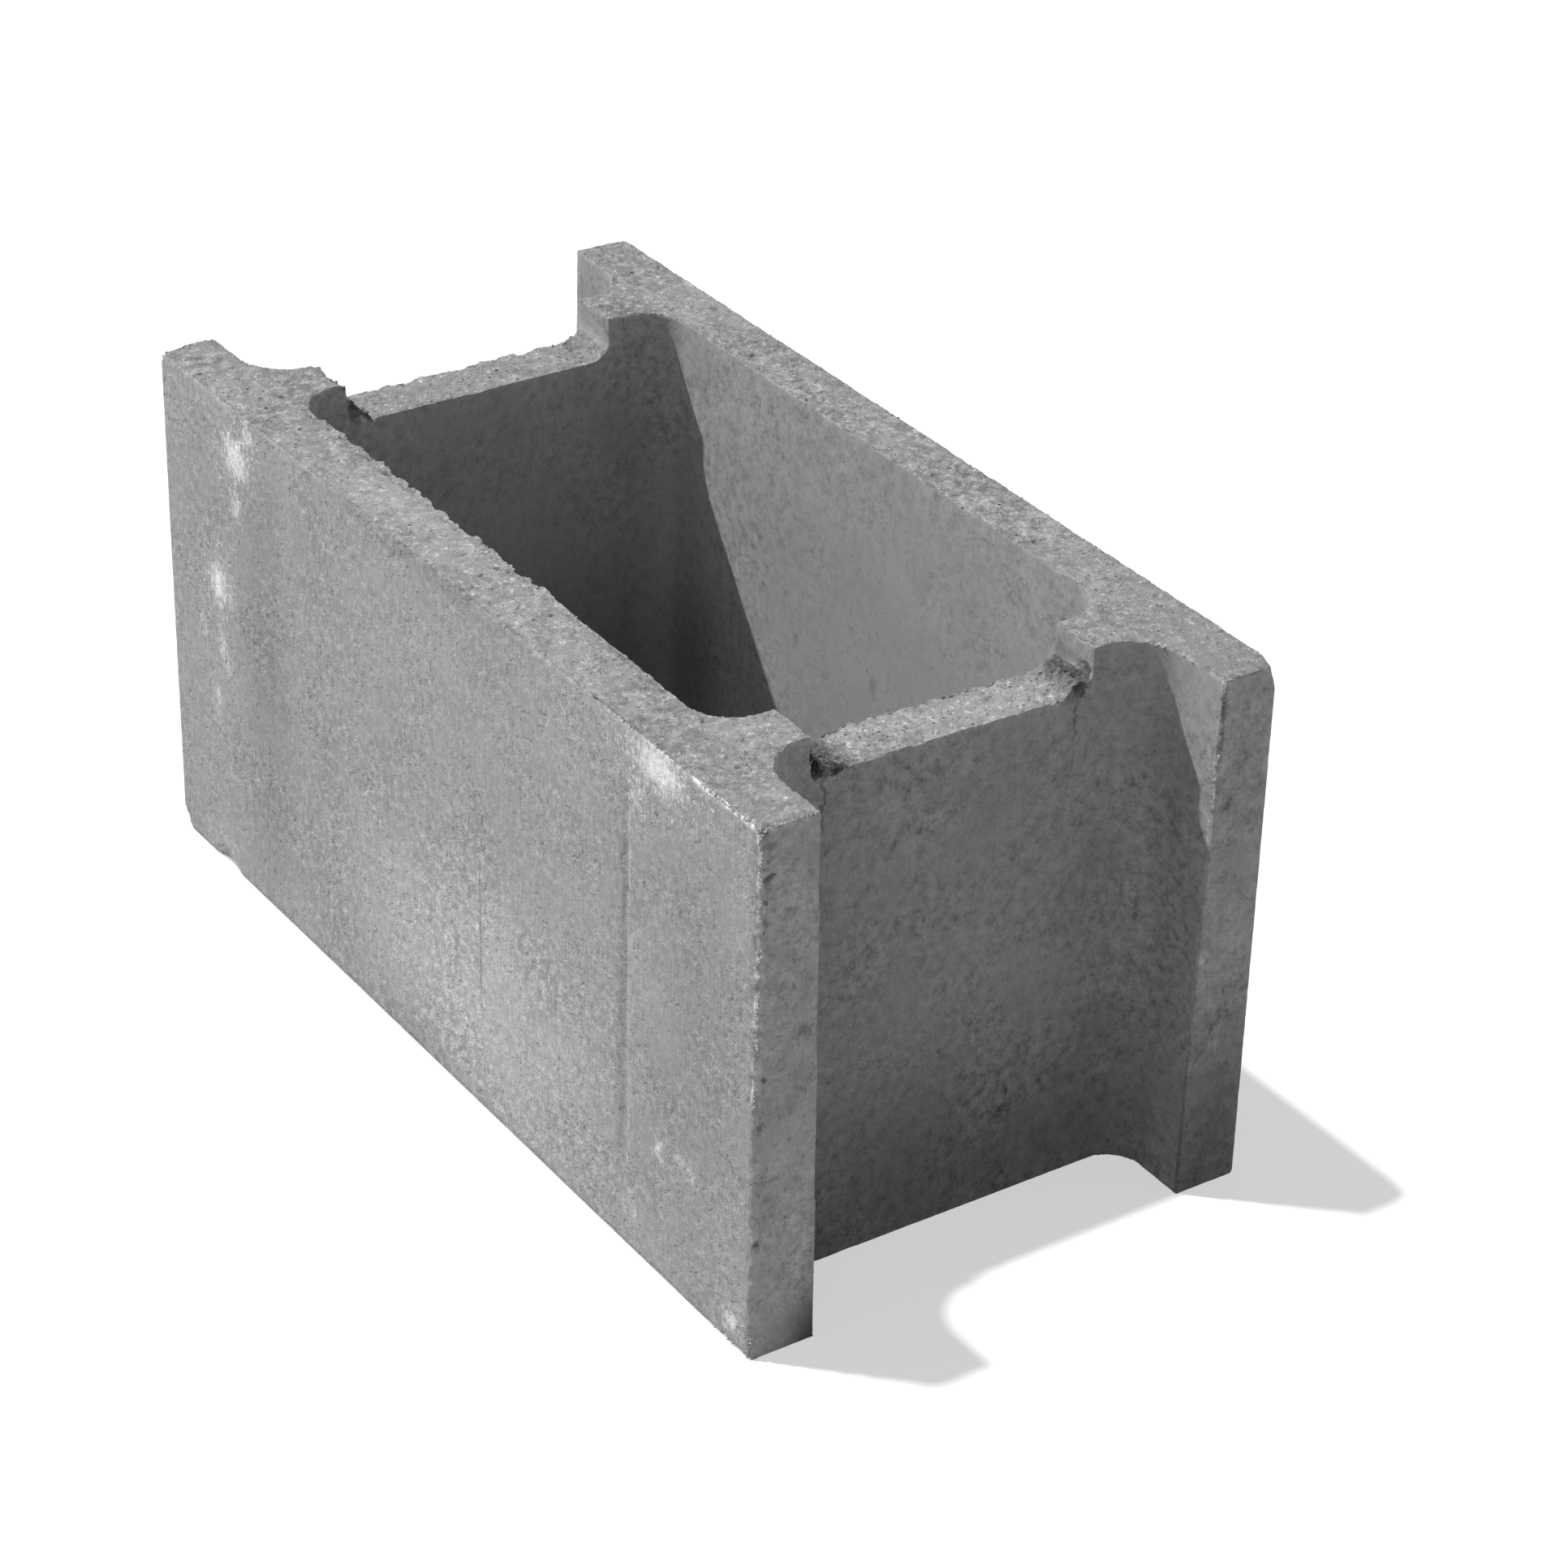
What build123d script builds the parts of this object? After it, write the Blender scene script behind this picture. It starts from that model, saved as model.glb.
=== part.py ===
from build123d import *

import os

# Concrete foundation block: one casting with two long side walls and two cross
# webs. The webs stand back from the ends, so each end has an open half pocket,
# and between them one large cavity runs right through. The moulding cores that
# leave the cavity and the pockets are tapered, so every inner face leans and
# the concrete is thickest at the base. Each web has a shallow saddle cut into
# its top edge.
#
# X runs along the block, Y across it and Z up. The origin is the middle of the
# base, and all sizes are in millimetres.

# Whole block
length = 500.0
width = 250.0
height = 250.0

# Side walls, measured from the outer face to the leaning inner face
wall_top = 27.5
wall_base = 31.5

# End pockets, measured from the end of the side walls to the web
pocket_top = 49.5
pocket_base = 42.0
pocket_round_top = 24.0
pocket_round_base = 17.0

# Cross webs, between a pocket and the cavity
web_top = 26.5
web_base = 39.0

# Upright corners of the cavity
cavity_round_top = 21.0
cavity_round_base = 16.0

# Saddle in the top edge of each web
saddle_width = 138.0
saddle_depth = 20.0
saddle_cove = 10.0

# Rounding of the four upright outer arrises of the block
arris_round = 2.0

# How far a cutting shape stands out of the block
overrun = 20.0

# Cavity between the webs
cavity_length_top = length - 2 * (pocket_top + web_top)
cavity_length_base = length - 2 * (pocket_base + web_base)
cavity_width_top = width - 2 * wall_top
cavity_width_base = width - 2 * wall_base

# Where the face of the right-hand web stands
web_face_top = length / 2 - pocket_top
web_face_base = length / 2 - pocket_base

base_plane = Plane.XY
top_plane = Plane.XY.offset(height)
section_plane = Plane.YZ

# Tapered core of the cavity
with BuildPart() as cavity_core:
    with BuildSketch(base_plane):
        RectangleRounded(cavity_length_base, cavity_width_base, cavity_round_base)
    with BuildSketch(top_plane):
        RectangleRounded(cavity_length_top, cavity_width_top, cavity_round_top)
    loft(ruled=True)

# Tapered core of the right-hand end pocket. It is rounded only where the web
# runs into the side walls, and passes out of the open end of the block.
with BuildPart() as pocket_core:
    with BuildSketch(base_plane) as pocket_foot:
        with Locations((web_face_base, 0)):
            Rectangle(pocket_base + overrun, cavity_width_base, align=(Align.MIN, Align.CENTER))
        fillet(pocket_foot.vertices().group_by(Axis.X)[0], radius=pocket_round_base)
    with BuildSketch(top_plane) as pocket_mouth:
        with Locations((web_face_top, 0)):
            Rectangle(pocket_top + overrun, cavity_width_top, align=(Align.MIN, Align.CENTER))
        fillet(pocket_mouth.vertices().group_by(Axis.X)[0], radius=pocket_round_top)
    loft(ruled=True)

# The block itself
with BuildPart() as foundation_block:
    with BuildSketch(base_plane):
        RectangleRounded(length, width, arris_round)
    extrude(amount=height)

    # Cavity, then the pocket at each end
    add(cavity_core.part, mode=Mode.SUBTRACT)
    with PolarLocations(0, 2):
        add(pocket_core.part, mode=Mode.SUBTRACT)

    # Saddles: one run of the same section crosses both webs. Its lower corners
    # are coved, and stubs of full height stay between it and the side walls.
    with BuildSketch(section_plane) as saddle:
        with Locations((0, height - saddle_depth)):
            Rectangle(saddle_width, saddle_depth + overrun, align=(Align.CENTER, Align.MIN))
        fillet(saddle.vertices().group_by(Axis.Y)[0], radius=saddle_cove)
    extrude(amount=length / 2, both=True, mode=Mode.SUBTRACT)

foundation_block.part.label = "foundation_block"

os.makedirs("parts", exist_ok=True)
export_step(foundation_block.part, "parts/foundation_block.step")

print("volume in litres", round(foundation_block.part.volume / 1e6, 3))
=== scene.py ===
import logging
import math
from dataclasses import dataclass
from enum import Enum
from typing import Any, Dict, Iterable, List, Mapping, Optional, Tuple, Union

import bmesh
import bpy
import numpy as np
from mathutils import Matrix, Vector, noise


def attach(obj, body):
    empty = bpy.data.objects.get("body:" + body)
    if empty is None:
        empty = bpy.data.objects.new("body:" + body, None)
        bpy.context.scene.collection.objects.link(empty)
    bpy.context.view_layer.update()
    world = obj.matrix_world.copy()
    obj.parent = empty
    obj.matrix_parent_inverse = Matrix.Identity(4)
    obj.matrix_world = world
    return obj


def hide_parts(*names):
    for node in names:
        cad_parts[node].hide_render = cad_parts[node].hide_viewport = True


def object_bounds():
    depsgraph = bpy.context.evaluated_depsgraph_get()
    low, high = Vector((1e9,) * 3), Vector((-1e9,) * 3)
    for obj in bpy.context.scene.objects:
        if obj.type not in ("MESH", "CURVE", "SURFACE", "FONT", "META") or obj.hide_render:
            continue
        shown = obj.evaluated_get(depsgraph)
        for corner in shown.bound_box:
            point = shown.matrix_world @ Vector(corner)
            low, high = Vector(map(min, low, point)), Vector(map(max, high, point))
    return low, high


# One concrete foundation block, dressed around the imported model. The casting
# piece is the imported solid, cut fine, worn and broken as in the photograph.
# Grains and crumbs of the same concrete lie in its open surfaces and along its
# arrises. Sizes are in millimetres, in the node trees too, except where a line
# says metres, and become metres where a mesh takes them. X runs along the
# block, Y across it and Z up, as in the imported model.

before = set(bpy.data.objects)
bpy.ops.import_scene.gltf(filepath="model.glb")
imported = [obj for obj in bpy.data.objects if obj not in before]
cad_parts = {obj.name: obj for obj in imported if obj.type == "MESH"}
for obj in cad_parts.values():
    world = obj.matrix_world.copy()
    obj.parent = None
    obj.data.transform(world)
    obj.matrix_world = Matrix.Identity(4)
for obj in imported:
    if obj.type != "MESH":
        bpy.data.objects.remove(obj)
cad_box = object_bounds()

LOG = logging.getLogger("foundation_block")

MM = 0.001
BODY = "root"
NODE = "foundation_block"

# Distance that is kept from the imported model's box, and distance within which points are one
BOX_MARGIN = 0.01
MERGE_DISTANCE = 0.01
ARRIS_ANGLE = math.radians(30.0)
# Raggedness from which a dent shows broken grain
BROKEN_FROM = 0.3

Triple = Tuple[float, float, float]
Term = Union[float, str, Tuple[float, ...], bpy.types.Material, "Field"]
ORIGIN: Triple = (0.0, 0.0, 0.0)


class Finish(Enum):
    """The finishes that faces of the casting take, in material slot order."""

    RUBBED = 0
    CORE = 1
    OPEN = 2
    END = 3


class Mark(Enum):
    """The shapes of a lighter or darker mark in a face."""

    RAGGED = "ragged"
    SOFT = "soft"
    CRACK = "crack"
    COARSE = "coarse"


# Node trees


class Field:
    """A value in a node tree. A sum that holds one adds Math nodes to its tree."""

    def __init__(self, graph: "Graph", socket: bpy.types.NodeSocket) -> None:
        """Keeps the tree and the output socket that gives the value."""
        self.graph = graph
        self.socket = socket

    def __add__(self, other: Term) -> "Field":
        """Adds a number or another value."""
        return self.graph.math("ADD", self, other)

    __radd__ = __add__

    def __sub__(self, other: Term) -> "Field":
        """Takes away a number or another value."""
        return self.graph.math("SUBTRACT", self, other)

    def __rsub__(self, other: Term) -> "Field":
        """Takes this value away from a number."""
        return self.graph.math("SUBTRACT", other, self)

    def __mul__(self, other: Term) -> "Field":
        """Multiplies by a number or another value."""
        return self.graph.math("MULTIPLY", self, other)

    __rmul__ = __mul__

    def __truediv__(self, other: Term) -> "Field":
        """Divides by a number or another value."""
        return self.graph.math("DIVIDE", self, other)


class Graph:
    """A node tree under construction: a material, a shader group or Geometry Nodes."""

    def __init__(self, tree: bpy.types.NodeTree) -> None:
        """Takes over a tree."""
        self.tree = tree

    def node(self, kind: str, inputs: Optional[Mapping[str, Term]] = None, **settings: Any) -> bpy.types.Node:
        """Adds a node.

        Args:
            kind: The node's type name.
            inputs: Values or links for its inputs, by name.
            **settings: The node's own settings.

        Returns:
            The new node.
        """
        made = self.tree.nodes.new(kind)
        for name, value in settings.items():
            setattr(made, name, value)
        for name, value in (inputs or {}).items():
            self.feed(made.inputs[name], value)
        return made

    def value(self, kind: str, inputs: Optional[Mapping[str, Term]] = None, output: Union[int, str] = 0,
              **settings: Any) -> Field:
        """Adds a node and gives one of its outputs, by name or number."""
        return Field(self, self.node(kind, inputs, **settings).outputs[output])

    def feed(self, socket: bpy.types.NodeSocket, term: Term) -> None:
        """Links a value to an input, or sets a plain number, name or material on it.

        Args:
            socket: The input.
            term: What it gets.
        """
        if isinstance(term, Field):
            self.tree.links.new(term.socket, socket)
        else:
            socket.default_value = term

    def math(self, operation: str, *terms: Term) -> Field:
        """Adds a Math node.

        Args:
            operation: Its operation.
            *terms: Its inputs, in order.

        Returns:
            The result.
        """
        made = self.node("ShaderNodeMath", operation=operation)
        for socket, term in zip(made.inputs, terms):
            self.feed(socket, term)
        return Field(self, made.outputs[0])

    def vector(self, operation: str, *terms: Term) -> Field:
        """Adds a Vector Math node.

        Args:
            operation: Its operation.
            *terms: Its inputs, in order.

        Returns:
            The resulting vector, or the number for a length or distance.
        """
        made = self.node("ShaderNodeVectorMath", operation=operation)
        for socket, term in zip(made.inputs, terms):
            self.feed(socket, term)
        number = operation in ("LENGTH", "DISTANCE", "DOT_PRODUCT")
        return Field(self, made.outputs["Value" if number else "Vector"])

    def scaled(self, vector: Term, factor: Term) -> Field:
        """Multiplies a vector by a number."""
        return self.value("ShaderNodeVectorMath", {"Vector": vector, "Scale": factor}, "Vector",
                          operation="SCALE")

    def split(self, vector: Term) -> Tuple[Field, Field, Field]:
        """Gives the three parts of a vector."""
        x, y, z = self.node("ShaderNodeSeparateXYZ", {"Vector": vector}).outputs
        return Field(self, x), Field(self, y), Field(self, z)

    def joined(self, x: Term, y: Term, z: Term) -> Field:
        """Makes a vector of three numbers."""
        return self.value("ShaderNodeCombineXYZ", {"X": x, "Y": y, "Z": z})

    def step(self, value: Term, low: Term, high: Term) -> Field:
        """A soft step of a value, with 0 up to the low end and 1 from the high end."""
        inputs = {"Value": value, "From Min": low, "From Max": high}
        return self.value("ShaderNodeMapRange", inputs, interpolation_type="SMOOTHSTEP")

    def fade(self, value: Term, low: Term, high: Term) -> Field:
        """The reverse of a step, with 1 up to the low end and 0 from the high end."""
        return 1.0 - self.step(value, low, high)

    def mixed(self, factor: Term, low: Term, high: Term) -> Field:
        """Goes from one number to another.

        Args:
            factor: 0 for the first, 1 for the second.
            low: The first number.
            high: The second number.

        Returns:
            The mix.
        """
        made = self.node("ShaderNodeMix", data_type="FLOAT")
        for socket, term in zip((made.inputs[0], made.inputs[2], made.inputs[3]), (factor, low, high)):
            self.feed(socket, term)
        return Field(self, made.outputs[0])

    def inverse(self, value: Term) -> Term:
        """Gives 1 divided by a value or a number."""
        return self.math("DIVIDE", 1.0, value) if isinstance(value, Field) else 1.0 / value

    def cloud(self, vector: Term, size: Term, detail: float = 2.0, rough: float = 0.5) -> Field:
        """Noise from 0 to 1, with its mean at a half.

        Args:
            vector: Where it is read, in mm.
            size: The size of its patches, in mm.
            detail: How many finer layers it has.
            rough: How strong they are.

        Returns:
            The noise.
        """
        inputs = {"Vector": vector, "Scale": self.inverse(size), "Detail": detail, "Roughness": rough}
        return self.value("ShaderNodeTexNoise", inputs, noise_dimensions="3D")

    def cells(self, vector: Term, size: Term, output: str = "Distance") -> Field:
        """Distance to the nearest of some scattered points, in cell sizes, or a random Color for each."""
        return self.value("ShaderNodeTexVoronoi", {"Vector": vector, "Scale": self.inverse(size)}, output)

    def knocks(self, vector: Term, scale: float, detail: float, width: Term) -> Field:
        """Noise that points in a random direction.

        Args:
            vector: Where it is read, in mm.
            scale: How many patches it has on a mm.
            detail: How many finer layers it has.
            width: How long it is, from end to end.

        Returns:
            The vector.
        """
        inputs = {"Vector": vector, "Scale": scale, "Detail": detail}
        colour = self.value("ShaderNodeTexNoise", inputs, "Color")
        return self.scaled(self.vector("SUBTRACT", colour, (0.5, 0.5, 0.5)), width)

    def compared(self, value: Term, operation: str, limit: Term) -> Field:
        """Tests a value against a limit, with LESS_THAN or GREATER_THAN."""
        return self.value("FunctionNodeCompare", {"A": value, "B": limit}, data_type="FLOAT",
                          operation=operation)

    def place(self) -> Field:
        """Gives the place of each point of a mesh, in mm."""
        return self.scaled(self.value("GeometryNodeInputPosition"), 1.0 / MM)

    def kept(self, name: str) -> Field:
        """Gives the number that a mesh keeps for each point under a name."""
        return self.value("GeometryNodeInputNamedAttribute", {"Name": name}, data_type="FLOAT")

    def keep(self, geometry: Term, name: str, value: Term) -> Field:
        """Keeps a number for each point of a mesh, under a name."""
        inputs = {"Geometry": geometry, "Name": name, "Value": value}
        return self.value("GeometryNodeStoreNamedAttribute", inputs, data_type="FLOAT", domain="POINT")

    def shown(self, name: str) -> Field:
        """Gives, in a material, the number that a mesh keeps for each point under a name."""
        return self.value("ShaderNodeAttribute", None, "Fac", attribute_name=name)

    def arris_distance(self, lines: Term) -> Field:
        """Gives how far each point of a mesh lies from the nearest arris, in mm."""
        arris = self.value("GeometryNodeObjectInfo", {"Object": lines}, "Geometry",
                           transform_space="ORIGINAL")
        return self.value("GeometryNodeProximity", {"Target": arris}, "Distance",
                          target_element="EDGES") / MM

    def show(self, shader: bpy.types.Node, output: str = "ShaderNodeOutputMaterial") -> None:
        """Sends a shader to the surface output of a material or of the world."""
        self.tree.links.new(shader.outputs[0], self.node(output).inputs["Surface"])

    def group(self, tree: bpy.types.NodeTree, inputs: Mapping[str, Term],
              output: Union[int, str] = 0) -> Field:
        """Places a node group.

        Args:
            tree: The group.
            inputs: Values or links for its inputs, by name.
            output: Name or number of the output.

        Returns:
            The output as a value.
        """
        kind = "GeometryNodeGroup" if tree.bl_idname == "GeometryNodeTree" else "ShaderNodeGroup"
        made = self.tree.nodes.new(kind)
        made.node_tree = tree
        for name, value in inputs.items():
            self.feed(made.inputs[name], value)
        return Field(self, made.outputs[output])


SOCKET_TYPES = {
    float: "NodeSocketFloat",
    int: "NodeSocketInt",
    tuple: "NodeSocketVector",
    bpy.types.Object: "NodeSocketObject",
    bpy.types.Mesh: "NodeSocketGeometry",
}


def new_tree(name: str, kind: str, inputs: Mapping[str, Any],
             outputs: Mapping[str, type]) -> Tuple[Graph, Dict[str, Field], bpy.types.Node]:
    """Starts a node group with named inputs and outputs.

    Args:
        name: The group's name.
        kind: ShaderNodeTree or GeometryNodeTree.
        inputs: Each input's default, or its type where it has none.
        outputs: Each output's type.

    Returns:
        The tree, its inputs as values by name, and its output node.
    """
    tree = bpy.data.node_groups.new(name, kind)
    for label, default in inputs.items():
        bare = isinstance(default, type)
        socket_type = SOCKET_TYPES[default if bare else type(default)]
        socket = tree.interface.new_socket(label, in_out="INPUT", socket_type=socket_type)
        if not bare:
            socket.default_value = default
    for label, made_type in outputs.items():
        tree.interface.new_socket(label, in_out="OUTPUT", socket_type=SOCKET_TYPES[made_type])
    graph = Graph(tree)
    entry = graph.node("NodeGroupInput")
    given = {label: Field(graph, entry.outputs[label]) for label in inputs}
    return graph, given, graph.node("NodeGroupOutput")


# Meshes


def bake(piece: bpy.types.Object) -> None:
    """Turns what a piece's modifiers make into its own plain mesh, and removes them.

    Args:
        piece: The piece.
    """
    depsgraph = bpy.context.evaluated_depsgraph_get()
    made = bpy.data.meshes.new_from_object(
        piece.evaluated_get(depsgraph), preserve_all_data_layers=True, depsgraph=depsgraph)
    piece.modifiers.clear()
    before = piece.data
    piece.data = made
    made.name = piece.name
    bpy.data.meshes.remove(before)


def run_tree(piece: bpy.types.Object, tree: bpy.types.NodeTree, values: Mapping[str, Any]) -> None:
    """Runs a Geometry Nodes tree on a piece and keeps its result as a plain mesh.

    Args:
        piece: The piece.
        tree: The tree.
        values: Its inputs, by name.
    """
    modifier = piece.modifiers.new(tree.name, "NODES")
    modifier.node_group = tree
    for item in tree.interface.items_tree:
        if item.item_type == "SOCKET" and item.in_out == "INPUT" and item.name in values:
            modifier[item.identifier] = values[item.name]
    bake(piece)


def new_object(name: str, data: bpy.types.ID) -> bpy.types.Object:
    """Puts a mesh, a lens or a lamp in the scene as an object at the origin.

    Args:
        name: The object's name.
        data: The mesh, lens or lamp.

    Returns:
        The object.
    """
    made = bpy.data.objects.new(name, data)
    bpy.context.scene.collection.objects.link(made)
    return made


def points_of(mesh: bpy.types.Mesh) -> np.ndarray:
    """Gives a mesh's points.

    Args:
        mesh: The mesh.

    Returns:
        Rows of X, Y and Z, in mm.
    """
    flat = np.empty(len(mesh.vertices) * 3, dtype=np.float32)
    mesh.vertices.foreach_get("co", flat)
    return flat.reshape(-1, 3) / MM


def set_points(mesh: bpy.types.Mesh, points: np.ndarray) -> None:
    """Moves a mesh's points to rows of X, Y and Z in mm."""
    mesh.vertices.foreach_set("co", (points * MM).astype(np.float32).ravel())
    mesh.update()


def store(mesh: bpy.types.Mesh, name: str, values: np.ndarray) -> None:
    """Keeps one number for each point of a mesh, under a name that node trees read."""
    mesh.attributes.new(name, "FLOAT", "POINT").data.foreach_set("value", values.astype(np.float32))


def keep_in_box(mesh: bpy.types.Mesh) -> None:
    """Holds a mesh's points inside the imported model's box."""
    low, high = (np.array(corner, dtype=np.float64) / MM for corner in cad_box)
    set_points(mesh, np.clip(points_of(mesh), low + BOX_MARGIN, high - BOX_MARGIN))


def soft_falloff(reach: np.ndarray) -> np.ndarray:
    """Falls smoothly from 1 at 0 to nothing at 1 and beyond."""
    inside = np.clip(1.0 - reach, 0.0, 1.0)
    return inside * inside * (3.0 - 2.0 * inside)


def lumps_at(points: np.ndarray, near: np.ndarray, size: float, fineness: float) -> np.ndarray:
    """Reads lumpy noise at some points.

    Args:
        points: All points, in mm.
        near: The numbers of the points that are wanted.
        size: Size of the lumps, in mm.
        fineness: How weak the finer layers are.

    Returns:
        One number about 0 for each of those points.
    """
    return np.array([noise.fractal(Vector(points[i] / size), fineness, 2.0, 3) for i in near])


def from_middle(points: np.ndarray, middle: Triple, half: Triple) -> np.ndarray:
    """Gives each point's distance from a middle, as a share of the half size along each axis."""
    return np.sqrt((((points - middle) / half) ** 2).sum(axis=1))


def from_line(points: np.ndarray, start: Triple, end: Triple) -> Tuple[np.ndarray, np.ndarray]:
    """Measures points from a line.

    Args:
        points: All points, in mm.
        start: One end of the line, in mm.
        end: Its other end, in mm.

    Returns:
        How far along the line each point stands, from 0 to 1, and its distance from there in mm.
    """
    first, along = np.array(start), np.subtract(end, start)
    share = np.clip((points - first) @ along / (along @ along), 0.0, 1.0)
    return share, np.linalg.norm(points - (first + share[:, None] * along), axis=1)


# The casting


@dataclass(frozen=True)
class Dent:
    """A place where concrete is missing, or where a lump of it hung on.

    Attributes:
        centre: Its middle, in mm.
        reach: Half its size along X, Y and Z, in mm.
        push: How far the surface is moved at the middle, along X, Y and Z, in mm.
        ragged: How much of that follows the broken grain, from 0 to 1. Below BROKEN_FROM the place
            is worn smooth and takes the finish of the surface round it.
        grain: Size of that broken grain, in mm.
        overreach: How far out a ragged edge may run, as a share of the reach.
    """

    centre: Triple
    reach: Triple
    push: Triple
    ragged: float = 0.6
    grain: float = 3.0
    overreach: float = 1.3

    def press(self, points: np.ndarray, broken: np.ndarray) -> None:
        """Moves the points inside the dent and marks them as broken.

        Args:
            points: All points, in mm. They are changed.
            broken: One number for each point, from 0 to 1. It is changed.
        """
        away = from_middle(points, self.centre, self.reach)
        near = np.nonzero(away < self.overreach)[0]
        lumps = lumps_at(points, near, self.grain, 1.0)
        depth = soft_falloff(away[near] + self.ragged * 0.5 * lumps)
        depth *= 1.0 + self.ragged * lumps
        points[near] += depth[:, None] * np.array(self.push)
        if self.ragged >= BROKEN_FROM:
            broken[near] = np.maximum(broken[near], np.clip(depth * 2.0, 0.0, 1.0))


@dataclass(frozen=True)
class Bank:
    """A sloping bank of concrete that was left in the cove at an end of a saddle.

    Attributes:
        x_low: Its lower end along X, in mm.
        x_high: Its upper end along X, in mm.
        foot: Y and Z of its foot, on the saddle's floor, in mm.
        head: Y and Z of its head, against the stub, in mm.
        lumps: How far its lumps stand out, in mm.
        lump: Size of the lumps, in mm.
        deepest: How far below it a point may lie to be raised, in mm.
        overrun: How far it runs on past its upper end along X and above its own slope, in mm.
        above: How far past its head it dies out, as a share of its slope.
        below: How far past its foot it dies out, as a share of its slope.
    """

    x_low: float
    x_high: float
    foot: Tuple[float, float]
    head: Tuple[float, float]
    lumps: float
    lump: float = 4.5
    deepest: float = 15.0
    overrun: float = 3.0
    above: float = 0.3
    below: float = 0.5

    def fill(self, points: np.ndarray) -> None:
        """Raises the points in the cove to the bank.

        Args:
            points: All points, in mm. They are changed.
        """
        rise = np.subtract(self.head, self.foot)
        length = float(np.hypot(*rise))
        outward = np.array((-rise[1], rise[0])) / length * math.copysign(1.0, rise[0])
        side = points[:, 1:] - self.foot
        share = side @ rise / length**2
        depth = -(side @ outward)
        within = (points[:, 0] > self.x_low - 1.0) & (points[:, 0] < self.x_high + self.overrun)
        within &= (depth > -self.overrun) & (depth < self.deepest)
        near = np.nonzero(within & (share > -self.below) & (share < 1.0 + self.above))[0]
        lumps = lumps_at(points, near, self.lump, 0.9)
        ends = np.clip((1.0 + self.above - share[near]) / self.above, 0.0, 1.0)
        ends *= np.clip((share[near] + self.below) / self.below, 0.0, 1.0)
        shallow = np.clip((self.deepest - depth[near]) / 7.0, 0.0, 1.0)
        shallow *= np.clip((points[near, 0] - self.x_low + 1.0) / 6.0, 0.0, 1.0)
        lift = np.maximum(depth[near] + self.lumps * (lumps - 0.2), 0.0) * ends * shallow
        points[near, 1:] += lift[:, None] * outward


@dataclass(frozen=True)
class Lip:
    """A lumpy lip of concrete along an arris, where it was squeezed out of the mould.

    Attributes:
        start: One end, in mm.
        end: The other end, in mm.
        push: How far it stands out at the most, along X, Y and Z, in mm.
        reach: How far from the arris it starts, in mm.
        lump: Size of its lumps, in mm.
        uneven: How much the lip differs from lump to lump.
        taper: Share of its length over which it dies out at each end.
    """

    start: Triple
    end: Triple
    push: Triple
    reach: float = 8.0
    lump: float = 9.0
    uneven: float = 1.1
    taper: float = 0.08

    def raise_up(self, points: np.ndarray) -> None:
        """Moves the points near the arris out.

        Args:
            points: All points, in mm. They are changed.
        """
        share, away = from_line(points, self.start, self.end)
        near = np.nonzero(away < self.reach)[0]
        lumps = lumps_at(points, near, self.lump, 0.8)
        ends = np.clip(np.minimum(share[near], 1.0 - share[near]) / self.taper, 0.0, 1.0)
        out = soft_falloff(away[near] / self.reach)
        out = out * np.clip(0.55 + self.uneven * lumps, 0.0, 1.3) * ends
        points[near] += out[:, None] * np.array(self.push)


@dataclass(frozen=True)
class Rubble:
    """A place where the concrete wasn't pressed tight, full of small ragged hollows.

    Attributes:
        centre: Its middle, in mm.
        reach: Half its size along X, Y and Z, in mm.
        strength: How deep the hollows are, from 0 to 1.
        steep: How fast they die out at its edge.
    """

    centre: Triple
    reach: Triple
    strength: float = 1.0
    steep: float = 2.5

    def mark(self, points: np.ndarray, rubble: np.ndarray) -> None:
        """Raises the rubble of the points inside it.

        Args:
            points: All points, in mm.
            rubble: One number for each point, from 0 to 1. It is changed.
        """
        away = from_middle(points, self.centre, self.reach)
        loose = np.clip(self.steep - self.steep * away, 0.0, 1.0)
        np.maximum(rubble, self.strength * loose, out=rubble)


@dataclass(frozen=True)
class DentCluster:
    """A crowd of small ragged dents, where a rough corner broke.

    Attributes:
        middle: Its middle, in mm.
        spread: Half its size along X, Y and Z, in mm.
        push: Mean push of a dent, in mm.
        size: Mean half size of a dent, in mm.
        count: How many dents it has.
        seed: Seed of their places and sizes.
    """

    middle: Triple
    spread: Triple
    push: Triple
    size: float
    count: int
    seed: int

    def dents(self) -> List[Dent]:
        """Scatters the dents.

        Returns:
            The dents, in a fixed random order.
        """
        draw = np.random.default_rng(self.seed)
        made = []
        for _ in range(self.count):
            centre = tuple(draw.uniform(-1.0, 1.0, 3) * self.spread + self.middle)
            reach = tuple(self.size * draw.uniform(0.6, 1.5, 3))
            push = tuple(np.array(self.push) * draw.uniform(0.5, 1.5))
            made.append(Dent(centre, reach, push, 0.9))
        return made


@dataclass(frozen=True)
class FrayedRun:
    """A stretch of arris that crumbled.

    Attributes:
        start: One end, in mm.
        end: The other end, in mm.
        strength: How badly, from 0 to 1.
        reach: How far from the arris it reaches, in mm.
    """

    start: Triple
    end: Triple
    strength: float
    reach: float = 9.0

    def mark(self, points: np.ndarray, fray: np.ndarray) -> None:
        """Raises the fray of the points near the run, which is one number from 0 to 1 for each."""
        away = from_line(points, self.start, self.end)[1]
        np.maximum(fray, self.strength * soft_falloff(away / self.reach), out=fray)


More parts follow.
